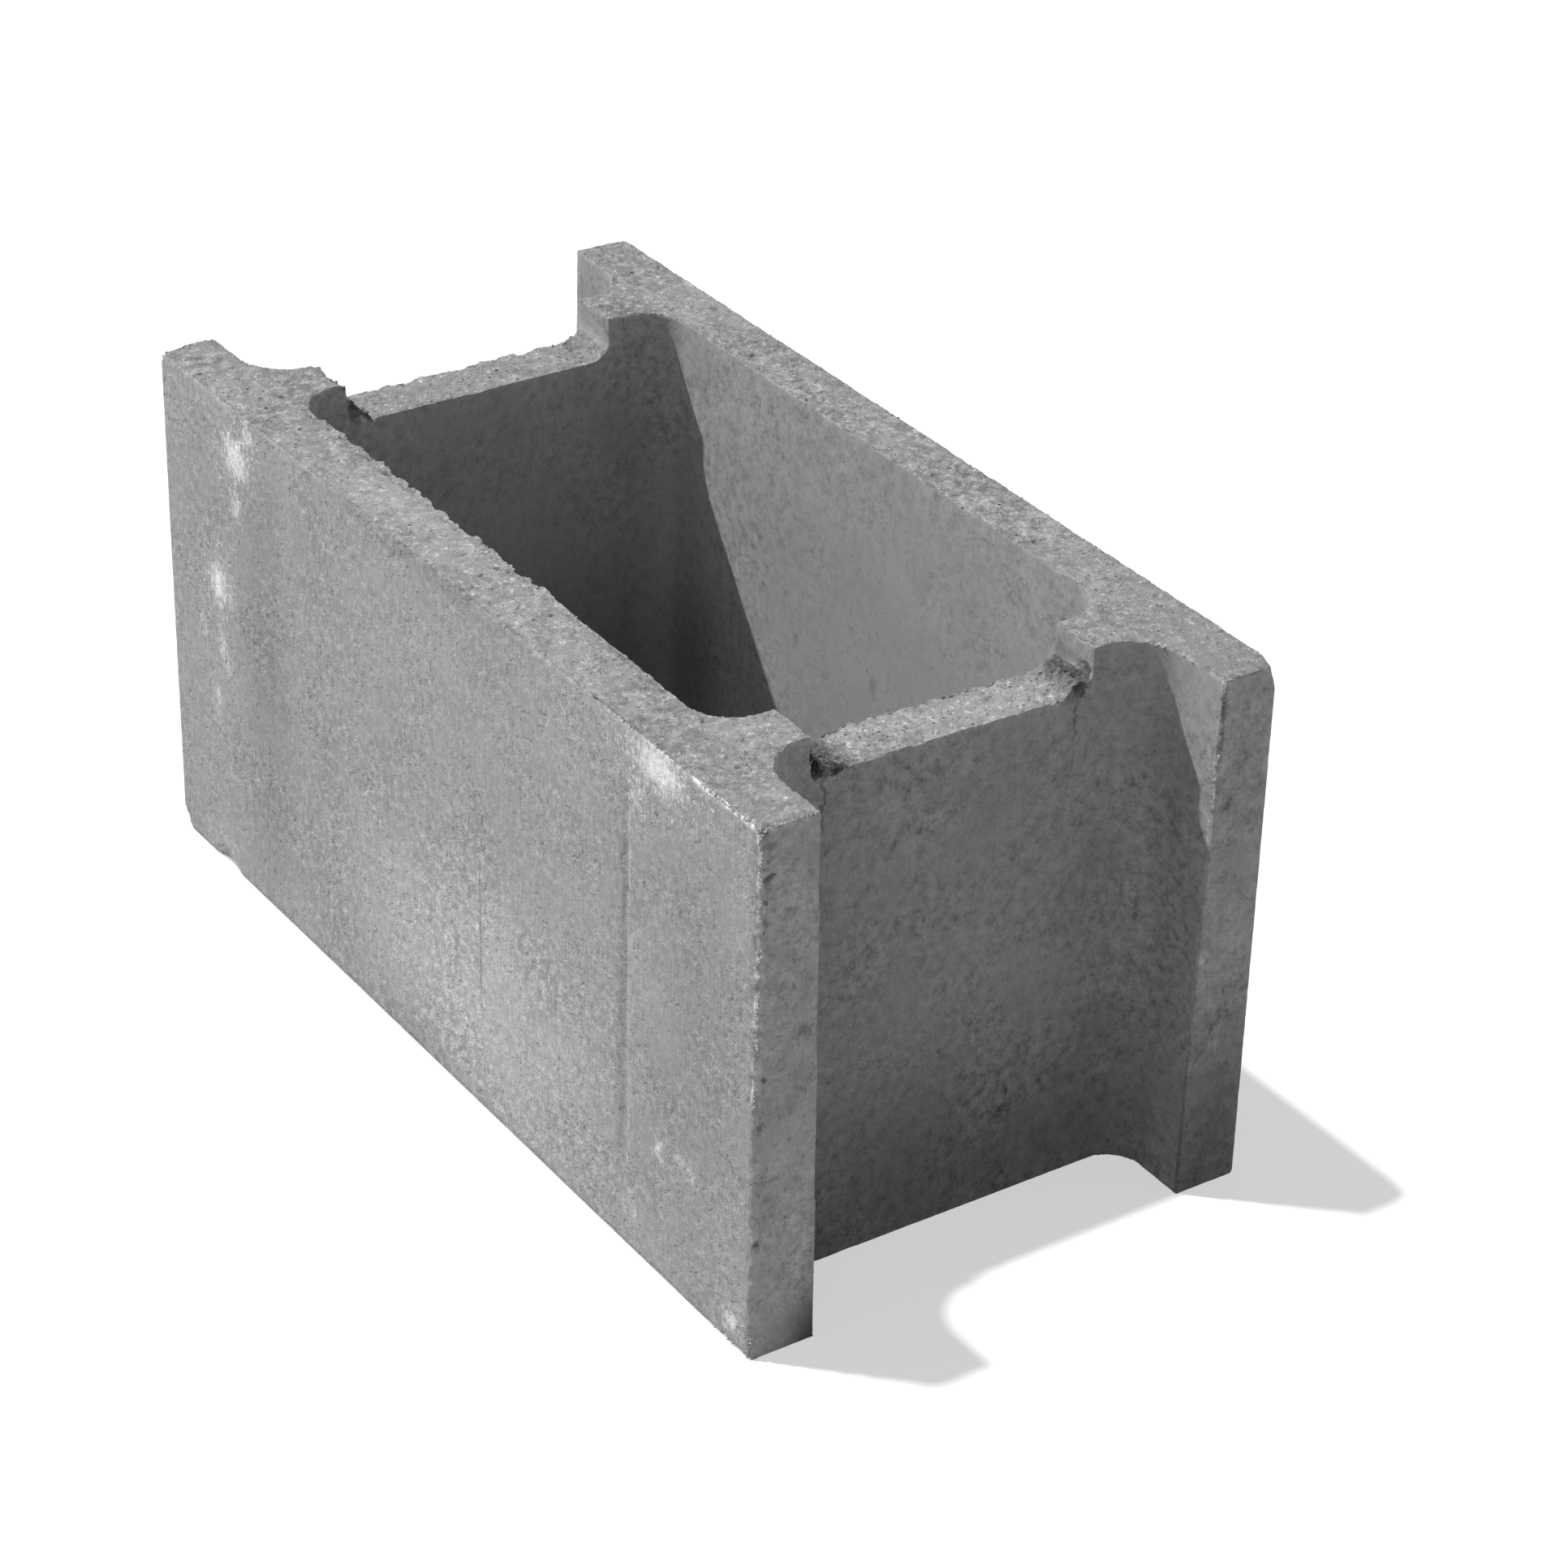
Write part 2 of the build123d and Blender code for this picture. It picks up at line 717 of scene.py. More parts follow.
@dataclass(frozen=True)
class Seam:
    """A groove left on the long face by a joint of the mould.

    Attributes:
        x: Where its steep side stands, in mm.
        top: Its upper end, in mm.
        bottom: Its lower end, in mm.
        depth: How deep it is, in mm.
        width_top: Width of its gentle side at the upper end, in mm.
        width_bottom: The same at the lower end, in mm.
        width_steep: Width of its steep side, in mm.
        drift: How far it wanders to either side, in mm.
        drift_length: Length of those bends, in mm.
        fade_top: Length over which it dies out at the upper end, in mm.
        fade_bottom: The same at the lower end, in mm.
    """

    x: float
    top: float
    bottom: float
    depth: float
    width_top: float
    width_bottom: float
    width_steep: float = 1.2
    drift: float = 0.8
    drift_length: float = 14.0
    fade_top: float = 12.0
    fade_bottom: float = 25.0

    def cut(self, points: np.ndarray, face_y: float) -> None:
        """Moves the points of the long face into the groove.

        Args:
            points: All points, in mm. They are changed.
            face_y: Where the long face stands, in mm.
        """
        near = np.nonzero((points[:, 1] < face_y + 0.8) & (np.abs(points[:, 0] - self.x) < 30.0))[0]
        side = points[near]
        share = np.clip((self.top - side[:, 2]) / (self.top - self.bottom), 0.0, 1.0)
        width = self.width_top + (self.width_bottom - self.width_top) * share
        wander = np.array([noise.noise(Vector((0.0, 0.0, z / self.drift_length))) for z in side[:, 2]])
        offset = side[:, 0] - self.x - self.drift * wander
        gentle = np.clip(1.0 + offset / width, 0.0, 1.0) ** 1.5
        steep = np.clip(1.0 - offset / self.width_steep, 0.0, 1.0)
        ends = np.clip((self.top - side[:, 2]) / self.fade_top, 0.0, 1.0)
        ends *= np.clip((side[:, 2] - self.bottom) / self.fade_bottom, 0.0, 1.0)
        points[near, 1] += self.depth * ends * (0.8 + 0.6 * wander) * np.where(offset < 0.0, gentle, steep)


@dataclass(frozen=True)
class Relief:
    """The fine relief of the casting's faces and arrises.

    Attributes:
        hollow_size: Size of the hollows between the grains of the open faces, in mm.
        hollow_depth: How deep the noise of those hollows goes, in mm.
        grit_size: Size of the grit in the open faces, in mm.
        grit_depth: How deep its noise goes, in mm.
        pit_size: Size of the pits in the open faces, in mm.
        pit_depth: Their depth, in mm.
        gutter_size: Size of the pieces of the gutter that runs along a frayed arris, in mm.
        gutter_depth: Its depth, in mm.
        wave_size: Size of the waves in the pressed faces, in mm.
        wave_depth: How deep their noise goes, in mm.
        dimple_size: Size of the dimples in the pressed faces, in mm.
        dimple_depth: How deep their noise goes, in mm.
        crumble_reach: How far from an arris it crumbles, in mm.
        crumble_depth: How deep it crumbles, in mm.
        lump_size: Size of the small crumbs that an arris loses, in mm.
        bite_size: Size of the large bites that it loses, in mm.
        rubble_size: Size of the holes in rubble, in mm.
        rubble_depth: Their depth, in mm.
        least: How far every face is worn at the least, in mm.
    """

    hollow_size: float = 6.5
    hollow_depth: float = 3.2
    grit_size: float = 2.4
    grit_depth: float = 1.1
    pit_size: float = 4.6
    pit_depth: float = 1.3
    gutter_size: float = 5.0
    gutter_depth: float = 0.8
    wave_size: float = 60.0
    wave_depth: float = 0.35
    dimple_size: float = 4.0
    dimple_depth: float = 0.1
    crumble_reach: float = 3.6
    crumble_depth: float = 2.9
    lump_size: float = 2.6
    bite_size: float = 10.0
    rubble_size: float = 2.8
    rubble_depth: float = 1.1
    least: float = 0.02


@dataclass(frozen=True)
class Casting:
    """The concrete casting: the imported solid, cut fine and worn.

    Attributes:
        length: Length of the block, in mm.
        width: Its width, in mm.
        height: Its height, in mm.
        wall_top: Thickness of the side walls at the top, in mm.
        pocket_top: Depth of the end pockets at the top, in mm.
        web_top: Thickness of the webs at the top, in mm.
        saddle_depth: How far the saddle floors lie below the top, in mm.
        saddle_width: Width of the saddles, in mm.
        cell: Edge of the cells that the solid is cut into, in mm.
        faces: How many triangles are kept.
        skin: How far inside the block's box a face may lie to count as an outer one, in mm.
        end_skin: The same for the flange ends, in mm.
        least_fray: Fray of the arrises that no frayed run names, from 0 to 1.
        relief: The fine relief of its faces.
        seed: Moves the pattern of that relief.
    """

    length: float = 500.0
    width: float = 250.0
    height: float = 250.0
    wall_top: float = 27.5
    pocket_top: float = 49.5
    web_top: float = 26.5
    saddle_depth: float = 20.0
    saddle_width: float = 138.0
    cell: float = 1.1
    faces: int = 192000
    skin: float = 3.0
    end_skin: float = 2.0
    least_fray: float = 0.06
    relief: Relief = Relief()
    seed: float = 7.0

    @property
    def web(self) -> float:
        """Where the pocket side of the near web stands along X at the top, in mm."""
        return self.length / 2 - self.pocket_top

    @property
    def cavity(self) -> float:
        """Where the cavity side of the near web stands along X at the top, in mm."""
        return self.web - self.web_top

    @property
    def inner(self) -> float:
        """Where the far wall's inner face stands along Y at the top, in mm."""
        return self.width / 2 - self.wall_top

    @property
    def floor(self) -> float:
        """Height of the saddles' floors, in mm."""
        return self.height - self.saddle_depth

    def build(self, finishes: Mapping[Finish, bpy.types.Material]) -> bpy.types.Object:
        """Makes the casting.

        Args:
            finishes: The material for each finish.

        Returns:
            The finished piece.
        """
        solid = self.merged_copy()
        piece = new_object("block_casting", solid)
        arrises = new_object("arris_lines", self.arris_lines(solid))
        self.cut_fine(piece)
        self.break_away(piece.data)
        run_tree(piece, self.relief_tree(finishes[Finish.RUBBED]), {"Arris lines": arrises})
        keep_in_box(piece.data)
        self.thin_out(piece)
        piece.data.materials.clear()
        for finish in Finish:
            piece.data.materials.append(finishes[finish])
        run_tree(piece, self.finish_tree(finishes), {"Arris lines": arrises})
        keep_in_box(piece.data)
        bpy.data.objects.remove(arrises)
        return piece

    def merged_copy(self) -> bpy.types.Mesh:
        """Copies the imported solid's mesh and joins its loose triangles.

        Returns:
            The copy.
        """
        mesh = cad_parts[NODE].data.copy()
        shape = bmesh.new()
        shape.from_mesh(mesh)
        bmesh.ops.remove_doubles(shape, verts=shape.verts, dist=MERGE_DISTANCE * MM)
        shape.to_mesh(mesh)
        shape.free()
        mesh.materials.clear()
        mesh.update()
        return mesh

    def arris_lines(self, solid: bpy.types.Mesh) -> bpy.types.Mesh:
        """Draws the block's sharp edges as lines.

        Args:
            solid: The block's joined mesh.

        Returns:
            A mesh that has only edges.
        """
        lines = bmesh.new()
        shape = bmesh.new()
        shape.from_mesh(solid)
        for edge in shape.edges:
            if edge.calc_face_angle(0.0) > ARRIS_ANGLE:
                lines.edges.new([lines.verts.new(corner.co) for corner in edge.verts])
        inset = 0.6
        for x in (-1.0, 1.0):
            for y in (-1.0, 1.0):
                foot = Vector((x * (self.length / 2 - inset), y * (self.width / 2 - inset), 0.0)) * MM
                head = foot + Vector((0.0, 0.0, self.height * MM))
                lines.edges.new((lines.verts.new(foot), lines.verts.new(head)))
        bmesh.ops.remove_doubles(lines, verts=lines.verts, dist=MERGE_DISTANCE * MM)
        made = bpy.data.meshes.new("arris_lines")
        lines.to_mesh(made)
        lines.free()
        shape.free()
        return made

    def cut_fine(self, piece: bpy.types.Object) -> None:
        """Cuts the solid's surface into small even cells.

        Args:
            piece: The piece.
        """
        modifier = piece.modifiers.new("cells", "REMESH")
        modifier.mode = "VOXEL"
        modifier.voxel_size = self.cell * MM
        modifier.use_smooth_shade = True
        bake(piece)

    def dents(self) -> Iterable[Dent]:
        """Gives every chip, hole and worn corner, as the photograph shows them.

        Returns:
            The dents, in the order in which they are pressed.
        """
        half, side, top = self.length / 2, self.width / 2, self.height
        web, cavity, floor = self.web, self.cavity, self.floor
        made = [
            # Foot of the long face, and the worn corners
            Dent((-203.0, -side, 0.0), (15.0, 9.0, 10.0), (0.0, 1.8, 1.2), 0.29),
            Dent((-half, -side, 0.0), (9.0, 9.0, 11.0), (1.8, 1.8, 2.2)),
            Dent((half, side, top), (14.0, 14.0, 12.0), (-1.7, -1.7, -1.2), 0.1),
            Dent((half, -side, top), (6.0, 6.0, 6.0), (-0.9, 0.9, -1.2)),
            Dent((-half, -side, top), (6.0, 8.0, 6.0), (0.8, 0.8, -1.3)),
            # Near saddle: a fuller floor at its left, and crevices under both ends
            Dent((web - 13.0, 0.0, floor), (40.0, 75.0, 10.0), (0.0, 0.0, 1.3), 0.1),
            Dent((web - 13.0, -34.0, floor), (40.0, 34.0, 10.0), (0.0, 0.0, 1.2), 0.1),
            Dent((web + 1.0, -66.0, floor + 6.0), (7.0, 3.0, 9.0), (-6.0, 0.0, -1.0), 0.8),
            Dent((web + 1.0, -57.0, floor + 1.5), (5.0, 5.0, 3.5), (-2.0, 0.0, -1.3), 1.0),
            Dent((web + 1.0, 62.5, floor + 3.0), (5.0, 6.5, 3.6), (-3.2, 0.0, -0.8), 1.0),
            Dent((web + 1.0, 61.0, floor - 9.0), (3.0, 1.2, 8.0), (-2.2, 0.0, 0.0), 0.6),
            # Far saddle: a worn stub and a crevice at its left end, and a lump behind its right end
            Dent((-187.0, -69.0, top), (24.0, 7.0, 8.0), (0.0, -1.2, -2.8), 0.8),
            Dent((-cavity, -65.0, floor + 8.0), (9.0, 4.5, 12.0), (-7.0, 0.0, -1.0), 0.8),
            Dent((-cavity, -57.0, floor + 1.0), (4.0, 4.0, 4.0), (-3.0, 0.0, -1.5), 0.9),
            Dent((-web + 4.0, 61.0, floor + 3.0), (9.0, 8.0, 7.0), (0.0, -2.0, 3.5), 0.7),
            # A pit at the outer arris
            Dent((177.5, -side + 2.0, top), (3.5, 2.5, 2.5), (0.0, 0.6, -1.8), 0.8),
        ]
        clusters = (
            DentCluster((cavity, -30.0, floor), (1.0, 12.0, 1.0), (1.4, 0.0, -0.8), 1.8, 6, 7),
            DentCluster((cavity, 20.0, floor), (1.0, 36.0, 1.0), (1.4, 0.0, -0.8), 1.8, 7, 13),
            DentCluster((half, -side + 4.0, 232.0), (0.5, 1.5, 12.0), (-1.8, 0.0, 0.0), 2.0, 5, 8),
            DentCluster((half, -side + 3.5, 170.0), (0.5, 1.5, 50.0), (-1.2, 0.0, 0.0), 1.4, 5, 10),
            DentCluster((half, side - 27.0, 215.0), (0.5, 1.0, 30.0), (-1.4, 0.0, 0.0), 1.5, 8, 11),
        )
        for cluster in clusters:
            made.extend(cluster.dents())
        return made

    def banks(self) -> Iterable[Bank]:
        """Gives the banks in the coves of both saddles.

        Returns:
            The banks.
        """
        web, cavity, floor, side = self.web, self.cavity, self.floor, self.saddle_width / 2
        return (
            Bank(cavity, web, (-side + 20.0, floor), (-side, floor + 8.5), 1.6),
            Bank(cavity, web, (side - 17.0, floor), (side - 7.0, floor + 7.0), 0.9),
            Bank(-web, -cavity, (-side + 13.0, floor), (-side, floor + 13.0), 1.4),
        )

    def lips(self) -> Iterable[Lip]:
        """Gives the lumpy lips on the cavity side of the near wall and of both saddles.

        Returns:
            The lips.
        """
        web, cavity, floor, inner, top = self.web, self.cavity, self.floor, self.inner, self.height
        return (
            Lip((-172.0, -inner, top), (172.0, -inner, top), (0.0, 3.5, 0.0), 26.0, 60.0, 0.4),
            Lip((-160.0, -inner, top), (60.0, -inner, top), (0.0, 1.6, 0.0), 7.0, 7.0, 1.8),
            Lip((-web, -60.0, floor), (-web, 60.0, floor), (-1.0, 0.0, 0.3), 8.0, 7.0),
            Lip((cavity, -55.0, floor), (cavity, 55.0, floor), (-0.8, 0.0, 0.4), 8.0, 7.0),
        )

    def rubble(self) -> Iterable[Rubble]:
        """Gives the loose places at the ends of both saddles.

        Returns:
            The places.
        """
        middle, floor = self.web - self.web_top / 2, self.floor
        return (
            Rubble((middle, -62.0, floor + 7.0), (24.0, 13.0, 14.0)),
            Rubble((middle, 60.0, floor + 3.0), (22.0, 11.0, 9.0), 0.75),
            Rubble((middle + 8.0, 68.0, floor + 8.0), (5.0, 4.0, 5.0), 0.8),
            Rubble((-middle, -62.0, floor + 7.0), (24.0, 12.0, 14.0), 0.8),
            Rubble((-middle, 60.0, floor + 2.0), (22.0, 11.0, 8.0), 0.7),
        )

    def frayed_runs(self) -> Iterable[FrayedRun]:
        """Gives the stretches of arris that crumbled.

        Returns:
            The stretches.
        """
        half, side, top = self.length / 2, self.width / 2, self.height
        web, cavity, floor, inner = self.web, self.cavity, self.floor, self.inner
        return (
            FrayedRun((-cavity, -inner, top), (60.0, -inner, top), 0.6),
            FrayedRun((60.0, -inner, top), (150.0, -inner, top), 0.5),
            FrayedRun((205.0, -side, top), (half, -side, top), 0.8),
            FrayedRun((half, -side, top), (half, -inner, top), 0.9),
            FrayedRun((half, -side, top), (half, -side, 125.0), 0.8),
            FrayedRun((half, -side, 125.0), (half, -side, 0.0), 0.4),
            FrayedRun((205.0, inner, top), (half, inner, top), 0.6),
            FrayedRun((half, inner, top), (half, side, top), 0.4),
            FrayedRun((half, inner, top), (half, inner - 1.0, 185.0), 0.5),
            FrayedRun((-web, -60.0, floor), (-web, 60.0, floor), 0.45),
            FrayedRun((cavity, -50.0, floor), (cavity, 50.0, floor), 0.5),
            FrayedRun((-half, side, top), (half, side, top), 0.12),
            FrayedRun((-half, -side, top), (-half, -inner, top), 0.7),
            FrayedRun((-half, -side, top), (200.0, -side, top), 0.3),
            FrayedRun((-half, -side, 0.0), (half, -side, 0.0), 0.12),
            FrayedRun((222.0, -side, 0.0), (half, -side, 0.0), 0.6),
        )

    def break_away(self, mesh: bpy.types.Mesh) -> None:
        """Breaks out the dents and the seam, and marks broken and frayed points.

        Args:
            mesh: The casting's fine mesh. It is changed.
        """
        points = points_of(mesh).astype(np.float64)
        broken, rubble = np.zeros(len(points)), np.zeros(len(points))
        fray = np.full(len(points), self.least_fray)
        for run in self.frayed_runs():
            run.mark(points, fray)
        for bank in self.banks():
            bank.fill(points)
        for lip in self.lips():
            lip.raise_up(points)
        for dent in self.dents():
            dent.press(points, broken)
        seam = Seam(x=155.0, top=222.0, bottom=30.0, depth=1.3, width_top=3.0, width_bottom=9.0)
        seam.cut(points, -self.width / 2)
        for place in self.rubble():
            place.mark(points, rubble)
        set_points(mesh, points)
        for name, values in (("broken", broken), ("rubble", rubble), ("fray", fray)):
            store(mesh, name, values)

    def relief_tree(self, material: bpy.types.Material) -> bpy.types.NodeTree:
        """Makes the tree that gives each face its relief and crumbles the arrises.

        Args:
            material: The material that the faces start with.

        Returns:
            The tree.
        """
        relief = self.relief
        sizes = {
            "Geometry": bpy.types.Mesh,
            "Arris lines": bpy.types.Object,
            "Hollow size": relief.hollow_size,
            "Hollow depth": relief.hollow_depth,
            "Grit depth": relief.grit_depth,
            "Pit depth": relief.pit_depth,
            "Crumble reach": relief.crumble_reach,
            "Crumble depth": relief.crumble_depth,
            "Rubble size": relief.rubble_size,
            "Rubble depth": relief.rubble_depth,
            "Seed": self.seed,
        }
        graph, given, result = new_tree("casting_relief", "GeometryNodeTree", sizes,
                                        {"Geometry": bpy.types.Mesh})
        place, seed = graph.place(), given["Seed"]
        seeded = graph.vector("ADD", place, graph.joined(seed * 13.1, seed * 7.7, seed * 3.9))
        normal = graph.value("GeometryNodeInputNormal")
        up = graph.split(normal)[2]
        height = graph.split(place)[2]
        fray, broken, rubble = (graph.kept(name) for name in ("fray", "broken", "rubble"))
        # Level faces near the top are open, and so is what broke
        opened = graph.step(up, 0.35, 0.7) * graph.step(height, 200.0, 205.0)
        opened = graph.math("MAXIMUM", opened, graph.math("MAXIMUM", broken, rubble))
        reach = graph.arris_distance(given["Arris lines"])

        # Hollows between the grains, grit, pits, and the gutter that runs along a frayed arris
        hollows = graph.math("MAXIMUM", graph.cloud(seeded, given["Hollow size"], 3.0, 0.62) - 0.5, 0.0)
        hollows = hollows * given["Hollow depth"]
        grit = graph.math("MAXIMUM", graph.cloud(seeded, relief.grit_size, 1.0) - 0.42, 0.0)
        grit = grit * given["Grit depth"]
        pits = graph.step(graph.cloud(seeded, relief.pit_size, 1.0), 0.72, 0.78) * given["Pit depth"]
        gutter = graph.step(reach, 0.6, 1.6) * graph.fade(reach, 1.8, 3.4)
        gutter = gutter * graph.step(fray, 0.3, 0.5)
        gutter = gutter * graph.step(graph.cloud(seeded, relief.gutter_size, 2.0), 0.42, 0.6)
        gutter = gutter * relief.gutter_depth
        open_depth = graph.math("MAXIMUM", hollows + grit + pits + gutter, relief.least)

        # Pressed faces are only a little wavy and dimpled
        upright = graph.vector("MULTIPLY", seeded, (1.0, 1.0, 0.85))
        waves = (graph.cloud(seeded, relief.wave_size, 1.0) - 0.35) * relief.wave_depth
        dimples = (graph.cloud(upright, relief.dimple_size, 2.0, 0.6) - 0.4) * relief.dimple_depth
        closed_depth = graph.math("MAXIMUM", waves + dimples, relief.least)
        depth = graph.mixed(opened, closed_depth, open_depth)

        # The arrises crumble, and rubble is full of ragged holes
        close = graph.fade(reach, 0.0, given["Crumble reach"] * (0.5 + fray))
        lumps = graph.step(graph.cloud(seeded, relief.lump_size, 2.0, 0.6), 0.38, 0.62)
        bites = graph.step(graph.cloud(seeded, relief.bite_size, 2.0), 0.48, 0.68)
        crumble = close * fray * (lumps * 0.3 + bites * 0.9 + 0.03) * given["Crumble depth"]
        loose = graph.step(graph.cloud(seeded, given["Rubble size"], 2.0, 0.6), 0.42, 0.62) * rubble
        depth = depth + crumble + loose * given["Rubble depth"]

        geometry = graph.keep(given["Geometry"], "opened", opened)
        geometry = graph.keep(geometry, "depth", depth)
        shift = graph.scaled(normal, depth * -MM)
        geometry = graph.value("GeometryNodeSetPosition", {"Geometry": geometry, "Offset": shift})
        geometry = graph.value("GeometryNodeRealizeInstances", {"Geometry": geometry})
        geometry = graph.value("GeometryNodeSetMaterial", {"Geometry": geometry, "Material": material})
        graph.feed(result.inputs["Geometry"], geometry)
        return graph.tree

    def thin_out(self, piece: bpy.types.Object) -> None:
        """Drops the triangles that flat surfaces don't need.

        Args:
            piece: The piece.
        """
        triangles = sum(len(face.vertices) - 2 for face in piece.data.polygons)
        modifier = piece.modifiers.new("thin", "DECIMATE")
        modifier.ratio = min(1.0, self.faces / triangles)
        modifier.use_collapse_triangulate = True
        bake(piece)

    def finish_tree(self, finishes: Mapping[Finish, bpy.types.Material]) -> bpy.types.NodeTree:
        """Makes the tree that gives each face its finish and keeps broken edges crisp.

        Args:
            finishes: The material for each finish.

        Returns:
            The tree.
        """
        sizes = {"Geometry": bpy.types.Mesh, "Arris lines": bpy.types.Object, "Crisp angle": 0.7}
        graph, given, result = new_tree("casting_finishes", "GeometryNodeTree", sizes,
                                        {"Geometry": bpy.types.Mesh})
        across, aside = (graph.math("ABSOLUTE", part) for part in graph.split(graph.place())[:2])
        outside = graph.math("MAXIMUM", across - (self.length / 2 - self.skin),
                             aside - (self.width / 2 - self.skin))
        down = graph.split(graph.value("GeometryNodeInputNormal"))[2] * -1.0
        outside = graph.math("MAXIMUM", outside, down - 0.7)
        geometry = graph.keep(given["Geometry"], "arris", graph.arris_distance(given["Arris lines"]))
        angle = graph.value("GeometryNodeInputMeshEdgeAngle", None, "Unsigned Angle")
        smooth = graph.compared(angle, "LESS_THAN", given["Crisp angle"])
        for domain, state in (("FACE", True), ("EDGE", smooth)):
            geometry = graph.value("GeometryNodeSetShadeSmooth",
                                   {"Geometry": geometry, "Shade Smooth": state}, domain=domain)
        geometry = graph.value("GeometryNodeRealizeInstances", {"Geometry": geometry})
        for finish, test in (
            (Finish.CORE, outside * -1.0),
            (Finish.RUBBED, outside),
            (Finish.END, across - (self.length / 2 - self.end_skin)),
            (Finish.OPEN, graph.kept("opened") - 0.5),
        ):
            chosen = graph.compared(test, "GREATER_THAN", 0.0)
            geometry = graph.value("GeometryNodeSetMaterial",
                                   {"Geometry": geometry, "Selection": chosen, "Material": finishes[finish]})
        graph.feed(result.inputs["Geometry"], geometry)
        return graph.tree


@dataclass(frozen=True)
class LooseConcrete:
    """Small lumps of concrete that stand half out of the casting.

    Attributes:
        name: The piece's name.
        smallest: Smallest half sizes of a lump along its own three axes, in mm.
        largest: Largest half sizes, in mm.
        sink: How deep a lump's middle lies below the surface, in mm.
        seed: Seed of every random choice.
        knock: How far the lumps are knocked out of round, in mm.
    """

    name: str
    smallest: Triple
    largest: Triple
    sink: float
    seed: int
    knock: float = 1.1

    def build(self, casting: bpy.types.Object, arrises: bpy.types.Object,
              material: bpy.types.Material) -> bpy.types.Object:
        """Makes the piece.

        Args:
            casting: The finished casting.
            arrises: The block's sharp edges as lines.
            material: The lumps' material.

        Returns:
            The finished piece.
        """
        piece = new_object(self.name, bpy.data.meshes.new(self.name))
        run_tree(piece, self.tree(material), {"Casting": casting, "Arris lines": arrises})
        keep_in_box(piece.data)
        return piece

    def spots(self, graph: Graph, given: Mapping[str, Field]) -> Tuple[Field, Field]:
        """Gives the points that lumps stand on and the way out of the concrete there.

        Args:
            graph: The tree.
            given: Its inputs.

        Returns:
            The points, and a direction for each.
        """
        raise NotImplementedError

    def sizes(self) -> Dict[str, Any]:
        """Gives the tree's inputs that only this kind of piece has."""
        return {}

    def tree(self, material: bpy.types.Material) -> bpy.types.NodeTree:
        """Makes the tree that sets the lumps.

        Args:
            material: Their material.

        Returns:
            The tree.
        """
        inputs = {
            "Geometry": bpy.types.Mesh,
            "Casting": bpy.types.Object,
            "Arris lines": bpy.types.Object,
            "Smallest": self.smallest,
            "Largest": self.largest,
            "Sink": self.sink,
            "Knock": self.knock,
            "Seed": self.seed,
            **self.sizes(),
        }
        graph, given, result = new_tree(self.name + "_lumps", "GeometryNodeTree", inputs,
                                        {"Geometry": bpy.types.Mesh})
        points, outward = self.spots(graph, given)
        sunk = graph.scaled(outward, given["Sink"] * -MM)
        points = graph.value("GeometryNodeSetPosition", {"Geometry": points, "Offset": sunk})
        lump = graph.value("GeometryNodeMeshIcoSphere", {"Radius": MM, "Subdivisions": 1}, "Mesh")
        size, turn = (
            graph.value("FunctionNodeRandomValue", {"Min": least, "Max": most, "Seed": given["Seed"]},
                        "Value", data_type="FLOAT_VECTOR")
            for least, most in ((given["Smallest"], given["Largest"]), (ORIGIN, (math.tau,) * 3)))
        lumps = graph.value("GeometryNodeInstanceOnPoints", {
            "Points": points, "Instance": lump, "Scale": size, "Rotation": turn})
        made = graph.value("GeometryNodeRealizeInstances", {"Geometry": lumps})
        shift = graph.knocks(graph.place(), 0.9, 1.0, given["Knock"] * MM)
        made = graph.value("GeometryNodeSetPosition", {"Geometry": made, "Offset": shift})
        made = graph.value("GeometryNodeSetMaterial", {"Geometry": made, "Material": material})
        graph.feed(result.inputs["Geometry"], made)
        return graph.tree


@dataclass(frozen=True)
class OpenGrains(LooseConcrete):
    """Grains of sand and chippings that stand out of the open surfaces.

    Attributes:
        density: Grains on a square metre.
    """

    density: float = 45000.0

    def sizes(self) -> Dict[str, Any]:
        """Gives the density as an input."""
        return {"Density": self.density}

    def spots(self, graph: Graph, given: Mapping[str, Field]) -> Tuple[Field, Field]:
        """Scatters points over the open surfaces.

        Args:
            graph: The tree.
            given: Its inputs.

        Returns:
            The points, and the way out of the surface at each.
        """
        casting = graph.value("GeometryNodeObjectInfo", {"Object": given["Casting"]}, "Geometry")
        chosen = graph.compared(graph.kept("opened"), "GREATER_THAN", 0.7)
        spread = graph.node("GeometryNodeDistributePointsOnFaces", {
            "Mesh": casting, "Selection": chosen, "Density": given["Density"], "Seed": given["Seed"]})
        return Field(graph, spread.outputs["Points"]), Field(graph, spread.outputs["Normal"])


